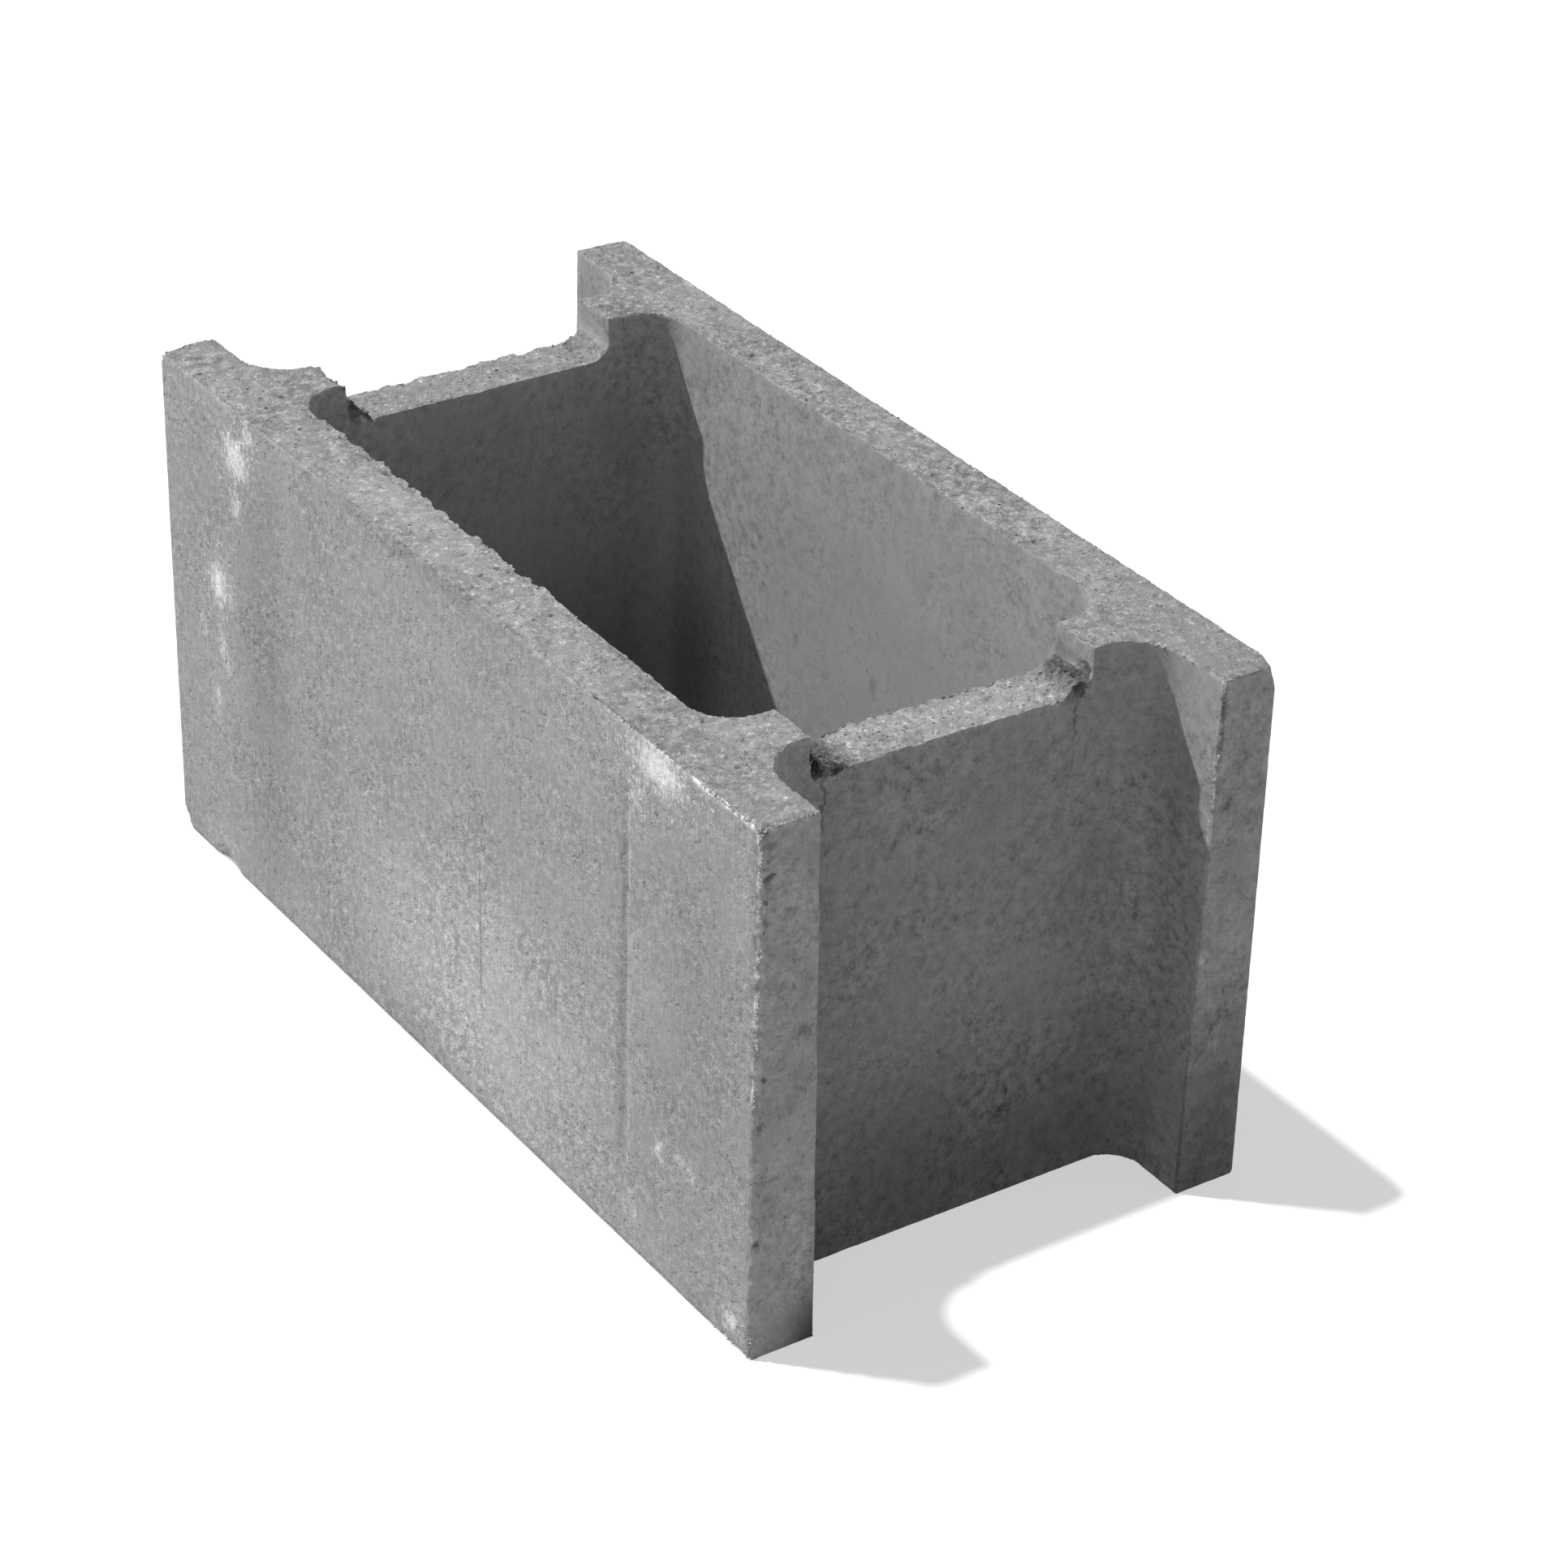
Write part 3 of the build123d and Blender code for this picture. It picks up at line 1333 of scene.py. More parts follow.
@dataclass(frozen=True)
class ArrisCrumbs(LooseConcrete):
    """Crumbs and burrs that hang on along the arrises.

    Attributes:
        pitch: Distance between places where a crumb may stand, in mm.
    """

    pitch: float = 1.3

    def sizes(self) -> Dict[str, Any]:
        """Gives the pitch as an input."""
        return {"Pitch": self.pitch * MM}

    def spots(self, graph: Graph, given: Mapping[str, Field]) -> Tuple[Field, Field]:
        """Finds places on the worn surface along the arrises that crumbled.

        Args:
            graph: The tree.
            given: Its inputs.

        Returns:
            The points, and straight up for each.
        """
        casting = graph.value("GeometryNodeObjectInfo", {"Object": given["Casting"]}, "Geometry")
        lines = graph.value("GeometryNodeObjectInfo", {"Object": given["Arris lines"]}, "Geometry")
        curve = graph.value("GeometryNodeMeshToCurve", {"Mesh": lines})
        points = graph.value("GeometryNodeCurveToPoints", {"Curve": curve, "Length": given["Pitch"]},
                             "Points", mode="LENGTH")
        near = graph.value("GeometryNodeProximity", {"Target": casting}, "Position", target_element="FACES")
        fray = graph.value("GeometryNodeSampleNearestSurface", {"Mesh": casting, "Value": graph.kept("fray")},
                           "Value", data_type="FLOAT")
        where = graph.place()
        crowd = graph.math("ADD", fray * 0.42, graph.cloud(where, 9.0, 2.0, 0.7))
        left = graph.value("GeometryNodeDeleteGeometry", {
            "Geometry": points, "Selection": graph.compared(crowd, "LESS_THAN", 0.78)}, domain="POINT")
        strewn = graph.knocks(where, 0.8, 2.0, 5.0 * MM)
        left = graph.value("GeometryNodeSetPosition", {"Geometry": left, "Offset": strewn})
        onto = graph.value("GeometryNodeSetPosition", {"Geometry": left, "Position": near})
        return onto, graph.joined(0.0, 0.0, 1.0)


# Finishes


class ConcreteGroups:
    """The shader groups that the concrete finishes share."""

    def __init__(self) -> None:
        """Builds every group once."""
        self.speckle = self.make_speckle()
        self.streaks = self.make_streaks()
        self.pinholes = self.make_pinholes()
        self.scabs = self.make_scabs()
        self.patch = self.make_patch()

    def make_speckle(self) -> bpy.types.NodeTree:
        """Fine mottling.

        Returns:
            A group that gives a number about 0, from -0.5 to 0.5.
        """
        sizes = {"Place": ORIGIN, "Size": 4.5, "Skew": 2.0}
        graph, given, result = new_tree("speckle", "ShaderNodeTree", sizes, {"Tone": float})
        place = given["Place"]
        uneven = graph.step(graph.cloud(place, 40.0, 2.0), 0.32, 0.68) * 0.8 + 0.6
        tone = graph.cloud(place, given["Size"], 4.0, 0.85) - 0.5
        graph.feed(result.inputs["Tone"], (tone + (tone * tone - 0.01) * given["Skew"]) * uneven)
        return graph.tree

    def make_streaks(self) -> bpy.types.NodeTree:
        """Upright drag lines.

        Returns:
            A group that gives a number about 0, from -0.5 to 0.5.
        """
        sizes = {"Place": ORIGIN, "Width": 1.2, "Length": 18.0}
        graph, given, result = new_tree("drag_streaks", "ShaderNodeTree", sizes, {"Tone": float})
        squeeze = graph.joined(1.0, 1.0, given["Width"] / given["Length"])
        place = graph.vector("MULTIPLY", given["Place"], squeeze)
        graph.feed(result.inputs["Tone"], graph.cloud(place, given["Width"], 2.0, 0.65) - 0.5)
        return graph.tree

    def make_pinholes(self) -> bpy.types.NodeTree:
        """Scattered small holes.

        Returns:
            A group that gives 1 in a hole and 0 outside.
        """
        sizes = {"Place": ORIGIN, "Spacing": 9.0, "Radius": 0.9, "Share": 0.3, "Stretch": 1.6}
        graph, given, result = new_tree("pinholes", "ShaderNodeTree", sizes, {"Mask": float})
        squeeze = graph.joined(1.0, 1.0, graph.inverse(given["Stretch"]))
        place = graph.vector("MULTIPLY", given["Place"], squeeze)
        ragged = graph.cloud(given["Place"], 1.6, 1.0) - 0.5
        away = graph.cells(place, given["Spacing"]) * given["Spacing"] + ragged * 1.2
        chance = graph.split(graph.cells(place, given["Spacing"], "Color"))[0]
        kept = graph.math("LESS_THAN", chance, given["Share"])
        inside = graph.fade(away, given["Radius"] * 0.55, given["Radius"] * 1.25)
        graph.feed(result.inputs["Mask"], inside * kept)
        return graph.tree

    def make_scabs(self) -> bpy.types.NodeTree:
        """Dark scabs in loose swarms.

        Returns:
            A group that gives 1 in a scab and 0 outside.
        """
        sizes = {"Place": ORIGIN, "Size": 3.4, "Amount": 0.5}
        graph, given, result = new_tree("scabs", "ShaderNodeTree", sizes, {"Mask": float})
        swarm = graph.cloud(given["Place"], 26.0, 2.0) * 0.35 + given["Amount"] * 0.2
        shape = graph.cloud(given["Place"], given["Size"], 3.0, 0.6) + swarm
        graph.feed(result.inputs["Mask"], graph.step(shape, 0.82, 1.06))
        return graph.tree

    def make_patch(self) -> bpy.types.NodeTree:
        """One patch.

        Returns:
            A group that gives a soft patch, and one with flecks scattered round a ragged middle.
        """
        sizes = {"Place": ORIGIN, "Middle": ORIGIN, "Half size": (10.0, 10.0, 10.0), "Ragged": 0.0,
                 "Fleck": 0.0}
        graph, given, result = new_tree("patch", "ShaderNodeTree", sizes, {"Soft": float, "Flecked": float})
        offset = graph.vector("SUBTRACT", given["Place"], given["Middle"])
        away = graph.vector("LENGTH", graph.vector("DIVIDE", offset, given["Half size"]))
        graph.feed(result.inputs["Soft"], graph.fade(away, 0.15, 1.0))
        middle = graph.fade(away + given["Ragged"], 0.1, 0.85)
        flecks = graph.step(given["Fleck"], 0.53, 0.68) * graph.fade(away, 0.5, 2.0)
        graph.feed(result.inputs["Flecked"], graph.math("MAXIMUM", middle, flecks * 0.7))
        return graph.tree


@dataclass(frozen=True)
class ToneMark:
    """A patch of a face that is lighter, darker or more mottled.

    Attributes:
        kind: Ragged with flecks round it, soft, drawn out along a line that wanders, or a place
            where the mottling is stronger.
        middle: Its middle, in mm.
        half: Half its size along X, Y and Z, in mm.
        gain: How much lighter, or darker below 0, as a share of the tone. For a coarse place it is
            how much stronger the mottling is.
    """

    kind: Mark
    middle: Triple
    half: Triple
    gain: float


@dataclass(frozen=True)
class ConcreteFinish:
    """A finish of the concrete.

    Attributes:
        name: The material's name.
        tone: Its mean colour, linear.
        speckle: Contrast of the fine mottling.
        speckle_size: Size of the mottling, in mm.
        skew: Above 0 its light spots stand out, below 0 its dark ones.
        streak: Contrast of the upright drag lines.
        streak_width: Their width, in mm.
        cloud: Contrast of the broad clouds.
        cloud_size: Their size, in mm.
        hole: How much darker a pinhole is, as a share of the tone.
        hole_share: Share of the cells that have a pinhole.
        hole_spacing: Distance between cells, in mm.
        hole_radius: Radius of a pinhole, in mm.
        scab: How much darker a scab is, as a share of the tone.
        scab_amount: How many scabs there are, from 0 to 1.
        fleck: How much lighter the scattered flecks of bare sand are, as a share of the tone.
        fleck_size: Size of the flecks, in mm.
        sunk: Painted shade: how much darker the surface is for each mm that it lies deeper, as a share of the
            tone.
        breaks: Painted shade: how much darker broken places are, as a share of the tone.
        nib: How much lighter fresh breaks along a frayed arris are, as a share of the tone.
        arris_shadow: How much darker the painted shadow beside the top arrises is, as a share of the tone.
        darkest: The least that is left of the tone.
        relief: Height of the fine relief, in mm.
        rough: Roughness.
        gloss: Specular level.
        marks: Its lighter and darker patches.
    """

    name: str
    tone: Triple = (0.36, 0.36, 0.358)
    speckle: float = 1.0
    speckle_size: float = 4.5
    skew: float = 2.0
    streak: float = 0.1
    streak_width: float = 1.2
    cloud: float = 0.3
    cloud_size: float = 50.0
    hole: float = 0.4
    hole_share: float = 0.1
    hole_spacing: float = 12.0
    hole_radius: float = 0.9
    scab: float = 0.2
    scab_amount: float = 0.5
    fleck: float = 0.2
    fleck_size: float = 2.0
    sunk: float = 0.0
    breaks: float = 0.1
    nib: float = 0.3
    arris_shadow: float = 0.2
    darkest: float = 0.1
    relief: float = 0.3
    rough: float = 0.9
    gloss: float = 0.3
    marks: Tuple[ToneMark, ...] = ()

    def material(self, groups: ConcreteGroups) -> bpy.types.Material:
        """Makes the material.

        Args:
            groups: The shared shader groups.

        Returns:
            The material.
        """
        made = bpy.data.materials.new(self.name)
        made.use_nodes = True
        made.node_tree.nodes.clear()
        graph = Graph(made.node_tree)
        place = graph.scaled(graph.value("ShaderNodeTexCoord", None, "Object"), 1.0 / MM)
        speckle = self.mottling(graph, groups, place)
        streaks = graph.group(groups.streaks, {"Place": place, "Width": self.streak_width})
        holes = graph.group(groups.pinholes, {"Place": place, "Spacing": self.hole_spacing,
                                              "Radius": self.hole_radius, "Share": self.hole_share})
        scabs = graph.group(groups.scabs, {"Place": place, "Amount": self.scab_amount})
        clouds = graph.cloud(place, self.cloud_size, 3.0) - 0.5
        broken, depth = graph.shown("broken"), graph.shown("depth")

        # Share of the tone: first what the whole face has, then the marks and the arrises
        lift = speckle * self.speckle + streaks * self.streak + clouds * self.cloud + 1.0
        # Darker pinholes and scabs, and painted shade that deepens with the depth of the relief
        lift = lift - holes * self.hole - scabs * self.scab - (depth - 0.4) * self.sunk
        # Painted shade in broken places
        lift = lift - broken * self.breaks
        lift = lift + graph.step(graph.cloud(place, self.fleck_size, 3.0, 0.7), 0.54, 0.74) * self.fleck
        lift = self.marked(graph, groups, place, lift)
        lift = graph.math("MAXIMUM", self.frayed(graph, place, lift), self.darkest)

        colour = graph.vector("MULTIPLY", self.tone, graph.joined(lift, lift, lift))
        height = speckle + streaks * 0.5 - holes * 2.0 - scabs * 0.6
        bump = graph.value("ShaderNodeBump", {
            "Height": height, "Strength": 1.0, "Distance": self.relief * MM}, "Normal")
        graph.show(graph.node("ShaderNodeBsdfPrincipled", {
            "Base Color": colour, "Roughness": self.rough, "Specular IOR Level": self.gloss, "Normal": bump}))
        return made

    def mottling(self, graph: Graph, groups: ConcreteGroups, place: Field) -> Field:
        """Adds the fine mottling, with its coarser and quieter places.

        Args:
            graph: The material's tree.
            groups: The shared shader groups.
            place: Place on the block, in mm.

        Returns:
            A number about 0.
        """
        speckle = graph.group(groups.speckle, {"Place": place, "Size": self.speckle_size, "Skew": self.skew})
        for mark in self.marks:
            if mark.kind is Mark.COARSE:
                inputs = {"Place": place, "Middle": mark.middle, "Half size": mark.half}
                speckle = speckle * (graph.group(groups.patch, inputs, "Soft") * mark.gain + 1.0)
        return speckle

    def marked(self, graph: Graph, groups: ConcreteGroups, place: Field, lift: Field) -> Field:
        """Lightens or darkens the places of the marks.

        Args:
            graph: The material's tree.
            groups: The shared shader groups.
            place: Place on the block, in mm.
            lift: Share of the tone without the marks.

        Returns:
            The share with them.
        """
        upright = graph.vector("MULTIPLY", place, (1.0, 1.0, 0.6))
        ragged = (graph.cloud(upright, 2.6, 3.0, 0.7) - 0.5) * 1.8
        fleck = graph.cloud(upright, 1.6, 2.0)
        wandering = graph.vector("ADD", place, graph.knocks(place, 0.18, 3.0, 7.0))
        for mark in self.marks:
            if mark.kind is Mark.COARSE:
                continue
            inputs = {"Place": wandering if mark.kind is Mark.CRACK else place, "Middle": mark.middle,
                      "Half size": mark.half, "Ragged": ragged, "Fleck": fleck}
            shape = "Flecked" if mark.kind is Mark.RAGGED else "Soft"
            lift = lift * (graph.group(groups.patch, inputs, shape) * mark.gain + 1.0)
        return lift

    def frayed(self, graph: Graph, place: Field, lift: Field) -> Field:
        """Adds fresh breaks on arrises that frayed much, and a painted shadow beside top ones that frayed a
        little.

        Args:
            graph: The material's tree.
            place: Place on the block, in mm.
            lift: Share of the tone without them.

        Returns:
            The share with them.
        """
        arris, fray = graph.shown("arris"), graph.shown("fray")
        nibs = graph.fade(arris, 1.6, 3.6) * graph.step(fray, 0.45, 0.7)
        broad = graph.vector("MULTIPLY", place, (0.4, 0.4, 0.2))
        nibs = nibs * graph.step(graph.cloud(broad, 1.6, 2.0), 0.4, 0.54)
        # Painted shadow: a ragged dark line beside the top arrises that frayed a little, where their lip
        # would shade the face
        arris_shadow = graph.fade(arris, 0.3, 2.8) * graph.step(fray, 0.15, 0.25)
        arris_shadow = arris_shadow * graph.fade(fray, 0.4, 0.5)
        arris_shadow = arris_shadow * graph.step(graph.split(place)[2], 243.0, 245.0)
        arris_shadow = arris_shadow * graph.step(graph.cloud(place, 5.0, 2.0), 0.38, 0.5)
        return lift + nibs * self.nib - arris_shadow * self.arris_shadow


# Where the faces that carry marks stand, and how far their marks reach from them, in mm
LONG_FACE_Y, LONG_FACE_REACH = -125.0, 40.0
FAR_WALL_Y, FAR_WALL_REACH = 96.0, 9.0
FLANGE_END_X, FLANGE_END_REACH = 250.0, 20.0


def lime(x: float, z: float, half_x: float, half_z: float, gain: float) -> ToneMark:
    """A lime patch on the long face that the camera sees."""
    return ToneMark(Mark.RAGGED, (x, LONG_FACE_Y, z), (half_x, LONG_FACE_REACH, half_z), gain)


def tone_and_shade(x: float, z: float, half_x: float, half_z: float, gain: float, kind: Mark = Mark.SOFT) -> ToneMark:
    """A soft tone, a painted shade, or a place with other mottling, on the long face that the camera sees."""
    return ToneMark(kind, (x, LONG_FACE_Y, z), (half_x, LONG_FACE_REACH, half_z), gain)


def wall_pit(x: float, z: float, half_x: float, half_z: float, gain: float) -> ToneMark:
    """A ragged spot on the inner face of the far wall."""
    return ToneMark(Mark.RAGGED, (x, FAR_WALL_Y, z), (half_x, FAR_WALL_REACH, half_z), gain)


def end_spot(y: float, z: float, half_y: float, half_z: float, gain: float) -> ToneMark:
    """A ragged spot on the flange ends that the camera sees."""
    return ToneMark(Mark.RAGGED, (FLANGE_END_X, y, z), (FLANGE_END_REACH, half_y, half_z), gain)


LONG_FACE_MARKS = (
    # Lime near the left end, then by the seam and low on the right
    lime(-178.0, 225.0, 19.0, 17.0, 1.3),
    lime(-165.0, 241.0, 10.0, 10.0, 0.7),
    lime(-179.0, 201.0, 7.0, 12.0, 0.7),
    lime(-200.0, 152.0, 12.0, 18.0, 1.25),
    lime(-188.0, 149.0, 6.0, 10.0, 0.35),
    lime(-218.0, 124.0, 7.0, 16.0, 0.25),
    lime(-199.0, 120.0, 7.0, 11.0, 0.7),
    lime(-195.0, 111.0, 5.0, 9.0, 0.35),
    lime(-206.0, 91.0, 7.0, 11.0, 0.45),
    lime(-207.0, 82.0, 4.0, 8.0, 0.25),
    lime(-196.0, 54.0, 4.0, 9.0, 0.3),
    lime(178.0, 241.0, 31.0, 17.0, 1.25),
    lime(162.0, 219.0, 8.0, 12.0, 0.35),
    lime(156.5, 190.0, 1.4, 34.0, 0.25),
    lime(180.3, 63.0, 5.0, 8.0, 0.8),
    lime(196.0, 67.0, 7.0, 6.0, 0.6),
    lime(205.0, 64.0, 5.0, 7.0, 0.5),
    lime(236.0, 12.0, 9.0, 8.0, 1.0),
    lime(160.0, 20.0, 14.0, 16.0, 0.2),
    # A fine upright line, a spot by the foot, the broad tones of the face, and painted shade under the top
    # arris, beside the seam and along the foot
    tone_and_shade(37.0, 86.0, 1.3, 60.0, -0.4),
    lime(-199.0, 4.0, 5.0, 6.0, 0.35),
    tone_and_shade(-210.0, 8.0, 26.0, 18.0, 0.15),
    # Painted shade in a soft band under the top arris
    tone_and_shade(-10.0, 248.0, 150.0, 9.0, -0.14),
    tone_and_shade(-156.0, 120.0, 36.0, 190.0, -0.16),
    # Painted shade beside the seam's groove
    tone_and_shade(150.5, 110.0, 6.0, 120.0, -0.14),
    tone_and_shade(30.0, 60.0, 160.0, 90.0, 0.32),
    # Painted shade along the foot of the face
    tone_and_shade(-20.0, 6.0, 60.0, 12.0, -0.12),
    tone_and_shade(40.0, 40.0, 190.0, 150.0, 0.35, Mark.COARSE),
    tone_and_shade(210.0, 130.0, 70.0, 150.0, -0.12),
)

CORE_MARKS = (
    # Darker towards the bottom of the near web, painted shade on the shaded faces of both webs and of the far
    # wall, then quieter mottling and a darker patch
    ToneMark(Mark.SOFT, (208.0, 0.0, -10.0), (30.0, 240.0, 130.0), -0.56),
    # Painted shade over the near web's pocket face, which faces away from the key light
    ToneMark(Mark.SOFT, (202.0, 0.0, 130.0), (14.0, 260.0, 240.0), -0.1),
    # Painted shade on the far web and the far wall deep in the cavity, darkest at their feet
    ToneMark(Mark.SOFT, (-172.0, 0.0, 100.0), (14.0, 260.0, 240.0), -0.27),
    ToneMark(Mark.SOFT, (-172.0, 0.0, 0.0), (24.0, 260.0, 170.0), -0.58),
    ToneMark(Mark.SOFT, (-140.0, 97.0, 70.0), (40.0, 20.0, 80.0), -0.42),
    ToneMark(Mark.COARSE, (-174.0, 0.0, 125.0), (90.0, 160.0, 160.0), -0.5),
    ToneMark(Mark.COARSE, (40.0, 97.0, 125.0), (160.0, 16.0, 170.0), -0.8),
    ToneMark(Mark.SOFT, (225.0, 96.0, 200.0), (30.0, 8.0, 80.0), -0.12),
    # Pits in the far wall and in the near web
    wall_pit(-84.5, 168.6, 2.5, 3.5, -0.3),
    wall_pit(-79.8, 145.9, 2.5, 2.5, -0.3),
    wall_pit(-52.0, 130.0, 4.0, 5.0, -0.3),
    wall_pit(-106.0, 118.0, 3.0, 16.0, -0.22),
    wall_pit(10.0, 134.0, 5.0, 10.0, -0.25),
    ToneMark(Mark.RAGGED, (204.0, 57.0, 122.0), (9.0, 7.0, 5.0), -0.25),
    ToneMark(Mark.RAGGED, (204.0, -13.5, 129.0), (9.0, 4.0, 6.0), -0.2),
    ToneMark(Mark.RAGGED, (204.0, 82.0, 122.0), (9.0, 6.0, 4.0), -0.2),
    # Cracks and shade under the ends of the saddles
    ToneMark(Mark.CRACK, (201.0, -63.5, 219.0), (9.0, 1.0, 22.0), -0.55),
    ToneMark(Mark.COARSE, (206.0, 0.0, 10.0), (40.0, 140.0, 120.0), 0.6),
    ToneMark(Mark.CRACK, (201.0, 61.0, 219.0), (9.0, 1.2, 14.0), -0.6),
    ToneMark(Mark.CRACK, (201.0, 60.0, 201.0), (9.0, 1.1, 8.0), -0.3),
    ToneMark(Mark.RAGGED, (202.0, 60.0, 229.0), (9.0, 7.0, 4.0), -0.35),
    ToneMark(Mark.SOFT, (-174.0, -66.0, 232.0), (9.0, 5.0, 16.0), -0.35),
    ToneMark(Mark.SOFT, (179.0, 67.0, 237.0), (15.0, 7.0, 10.0), -0.4),
)

OPEN_MARKS = (
    # Tones of the walls' tops and of the saddles' floors, and painted shade in the coves at both ends of the
    # near saddle, ragged where the concrete broke
    ToneMark(Mark.SOFT, (187.0, 0.0, 230.0), (30.0, 75.0, 30.0), 0.2),
    ToneMark(Mark.SOFT, (235.0, 120.0, 250.0), (60.0, 50.0, 40.0), -0.16),
    # Painted shade in the cove at the near saddle's end by the near wall
    ToneMark(Mark.SOFT, (187.0, -66.0, 234.0), (32.0, 14.0, 17.0), -0.4),
    ToneMark(Mark.SOFT, (0.0, -112.0, 250.0), (170.0, 34.0, 34.0), 0.16),
    ToneMark(Mark.COARSE, (0.0, -112.0, 250.0), (190.0, 34.0, 34.0), -0.5),
    ToneMark(Mark.COARSE, (225.0, 112.0, 250.0), (110.0, 34.0, 34.0), -0.4),
    ToneMark(Mark.COARSE, (-215.0, 0.0, 240.0), (90.0, 200.0, 34.0), -0.35),
    ToneMark(Mark.COARSE, (187.0, 0.0, 230.0), (34.0, 80.0, 30.0), -0.45),
    # Painted shade at both ends of the near saddle, in ragged patches where the concrete broke
    ToneMark(Mark.SOFT, (187.0, 66.0, 236.0), (30.0, 14.0, 15.0), -0.4),
    ToneMark(Mark.RAGGED, (187.0, -66.0, 236.0), (36.0, 9.0, 16.0), -0.5),
    ToneMark(Mark.SOFT, (184.0, -56.0, 233.0), (28.0, 14.0, 14.0), -0.42),
    ToneMark(Mark.RAGGED, (184.0, -52.0, 232.0), (28.0, 9.0, 10.0), -0.35),
    ToneMark(Mark.RAGGED, (192.0, 65.0, 234.0), (30.0, 11.0, 14.0), -0.45),
)

END_MARKS = (
    # Darker towards the bottom of the far flange's end, painted shade at the foot of the near flange's end by
    # the pocket, and spots from the top down on each flange
    ToneMark(Mark.SOFT, (250.0, 110.0, -10.0), (60.0, 50.0, 150.0), -0.6),
    ToneMark(Mark.SOFT, (250.0, -88.0, -4.0), (20.0, 28.0, 44.0), -0.85),
    end_spot(97.0, 117.0, 3.0, 3.0, 0.5),
    end_spot(108.0, 77.0, 3.0, 6.0, 0.35),
    ToneMark(Mark.SOFT, (250.0, -112.0, 70.0), (20.0, 40.0, 70.0), 0.16),
    ToneMark(Mark.SOFT, (250.0, 110.0, 190.0), (20.0, 40.0, 100.0), -0.14),
    end_spot(-121.0, 241.0, 4.0, 6.0, -0.45),
    end_spot(-122.0, 224.0, 3.0, 5.0, -0.4),
    end_spot(-122.5, 210.0, 2.5, 4.0, -0.35),
    end_spot(-103.0, 152.0, 7.0, 6.0, -0.45),
    end_spot(-122.0, 113.0, 3.0, 5.0, -0.5),
    end_spot(-118.0, 86.0, 8.0, 2.5, -0.35),
    end_spot(-118.0, 77.0, 7.0, 2.5, -0.3),
    end_spot(-123.0, 57.0, 3.0, 2.5, -0.6),
    end_spot(102.0, 189.0, 5.0, 5.0, -0.3),
    end_spot(98.0, 234.0, 1.8, 24.0, -0.5),
)

RUBBED = ConcreteFinish("rubbed_face", tone=(0.415, 0.415, 0.413), speckle=1.65, speckle_size=4.6,
                        streak=0.13, cloud=0.25, hole_share=0.01, scab=0.15, fleck=0.14, nib=1.3,
                        relief=0.6, marks=LONG_FACE_MARKS)
END = ConcreteFinish("flange_end", tone=(0.42, 0.42, 0.418), speckle=1.65, speckle_size=6.5, skew=0.0,
                     streak=0.0, hole_share=0.01, scab=0.25, fleck=0.1, relief=0.7, marks=END_MARKS)
CORE = ConcreteFinish("core_face", tone=(0.35, 0.35, 0.349), speckle=1.7, speckle_size=5.0, skew=-1.0,
                      streak=0.06, streak_width=1.6, cloud=0.35, hole_share=0.01, hole_spacing=14.0,
                      scab=0.22, fleck=0.05, relief=0.12, marks=CORE_MARKS)
# The open grain's darker tone is painted shade of the hollows between its grains
OPEN = ConcreteFinish("open_grain", tone=(0.268, 0.268, 0.267), speckle=3.0, speckle_size=6.0,
                      streak=0.0, cloud=0.5, hole_share=0.0, scab=0.1, fleck=1.1, fleck_size=3.2,
                      sunk=0.1, relief=1.0, marks=OPEN_MARKS)
GRAIN = ConcreteFinish("standing_grain", tone=(0.34, 0.34, 0.338), speckle=1.4, streak=0.0, cloud=0.4,
                       hole_share=0.0, scab=0.0, relief=0.3, marks=OPEN_MARKS)
CRUMB = ConcreteFinish("hanging_crumb", tone=(0.43, 0.43, 0.428), speckle=1.4, streak=0.0, cloud=0.4,
                       hole_share=0.0, scab=0.0, relief=0.3)


# Camera, lamps and floor


@dataclass(frozen=True)
class PhotoCamera:
    """The photograph's camera, solved from the block's own edges.

    Attributes:
        focal_px: Focal length, in pixels of the photograph.
        frame_px: Side of the square photograph, in pixels.
        azimuth: Direction from which it looks, in degrees.
        elevation: Its height above the horizon, in degrees.
        roll: How far it is tilted, in degrees.
        stand: Where it stands, in metres.
        sensor: Width of its sensor, in mm.
    """

    focal_px: float = 5415.5
    frame_px: float = 1932.0
    azimuth: float = 55.668
    elevation: float = 30.287
    roll: float = 1.474
    stand: Triple = (1.42255, -0.91600, 1.09646)
    sensor: float = 36.0

    def place(self) -> bpy.types.Object:
        """Adds the camera and makes it the scene's.

        Returns:
            The camera.
        """
        around, above, tilt = (math.radians(angle) for angle in (self.azimuth, self.elevation, self.roll))
        level = math.cos(above)
        back = Vector((math.sin(around) * level, -math.cos(around) * level, math.sin(above)))
        right = (-back).cross(Vector((0.0, 0.0, 1.0))).normalized()
        up = right.cross(-back)
        turned_right = right * math.cos(tilt) + up * math.sin(tilt)
        turned_up = up * math.cos(tilt) - right * math.sin(tilt)
        lens = bpy.data.cameras.new("photo_camera")
        lens.sensor_width = self.sensor
        lens.lens = self.focal_px / self.frame_px * self.sensor
        camera = new_object("photo_camera", lens)
        turn = Matrix((turned_right, turned_up, back)).transposed().to_4x4()
        camera.matrix_world = Matrix.Translation(Vector(self.stand)) @ turn
        bpy.context.scene.camera = camera
        return camera


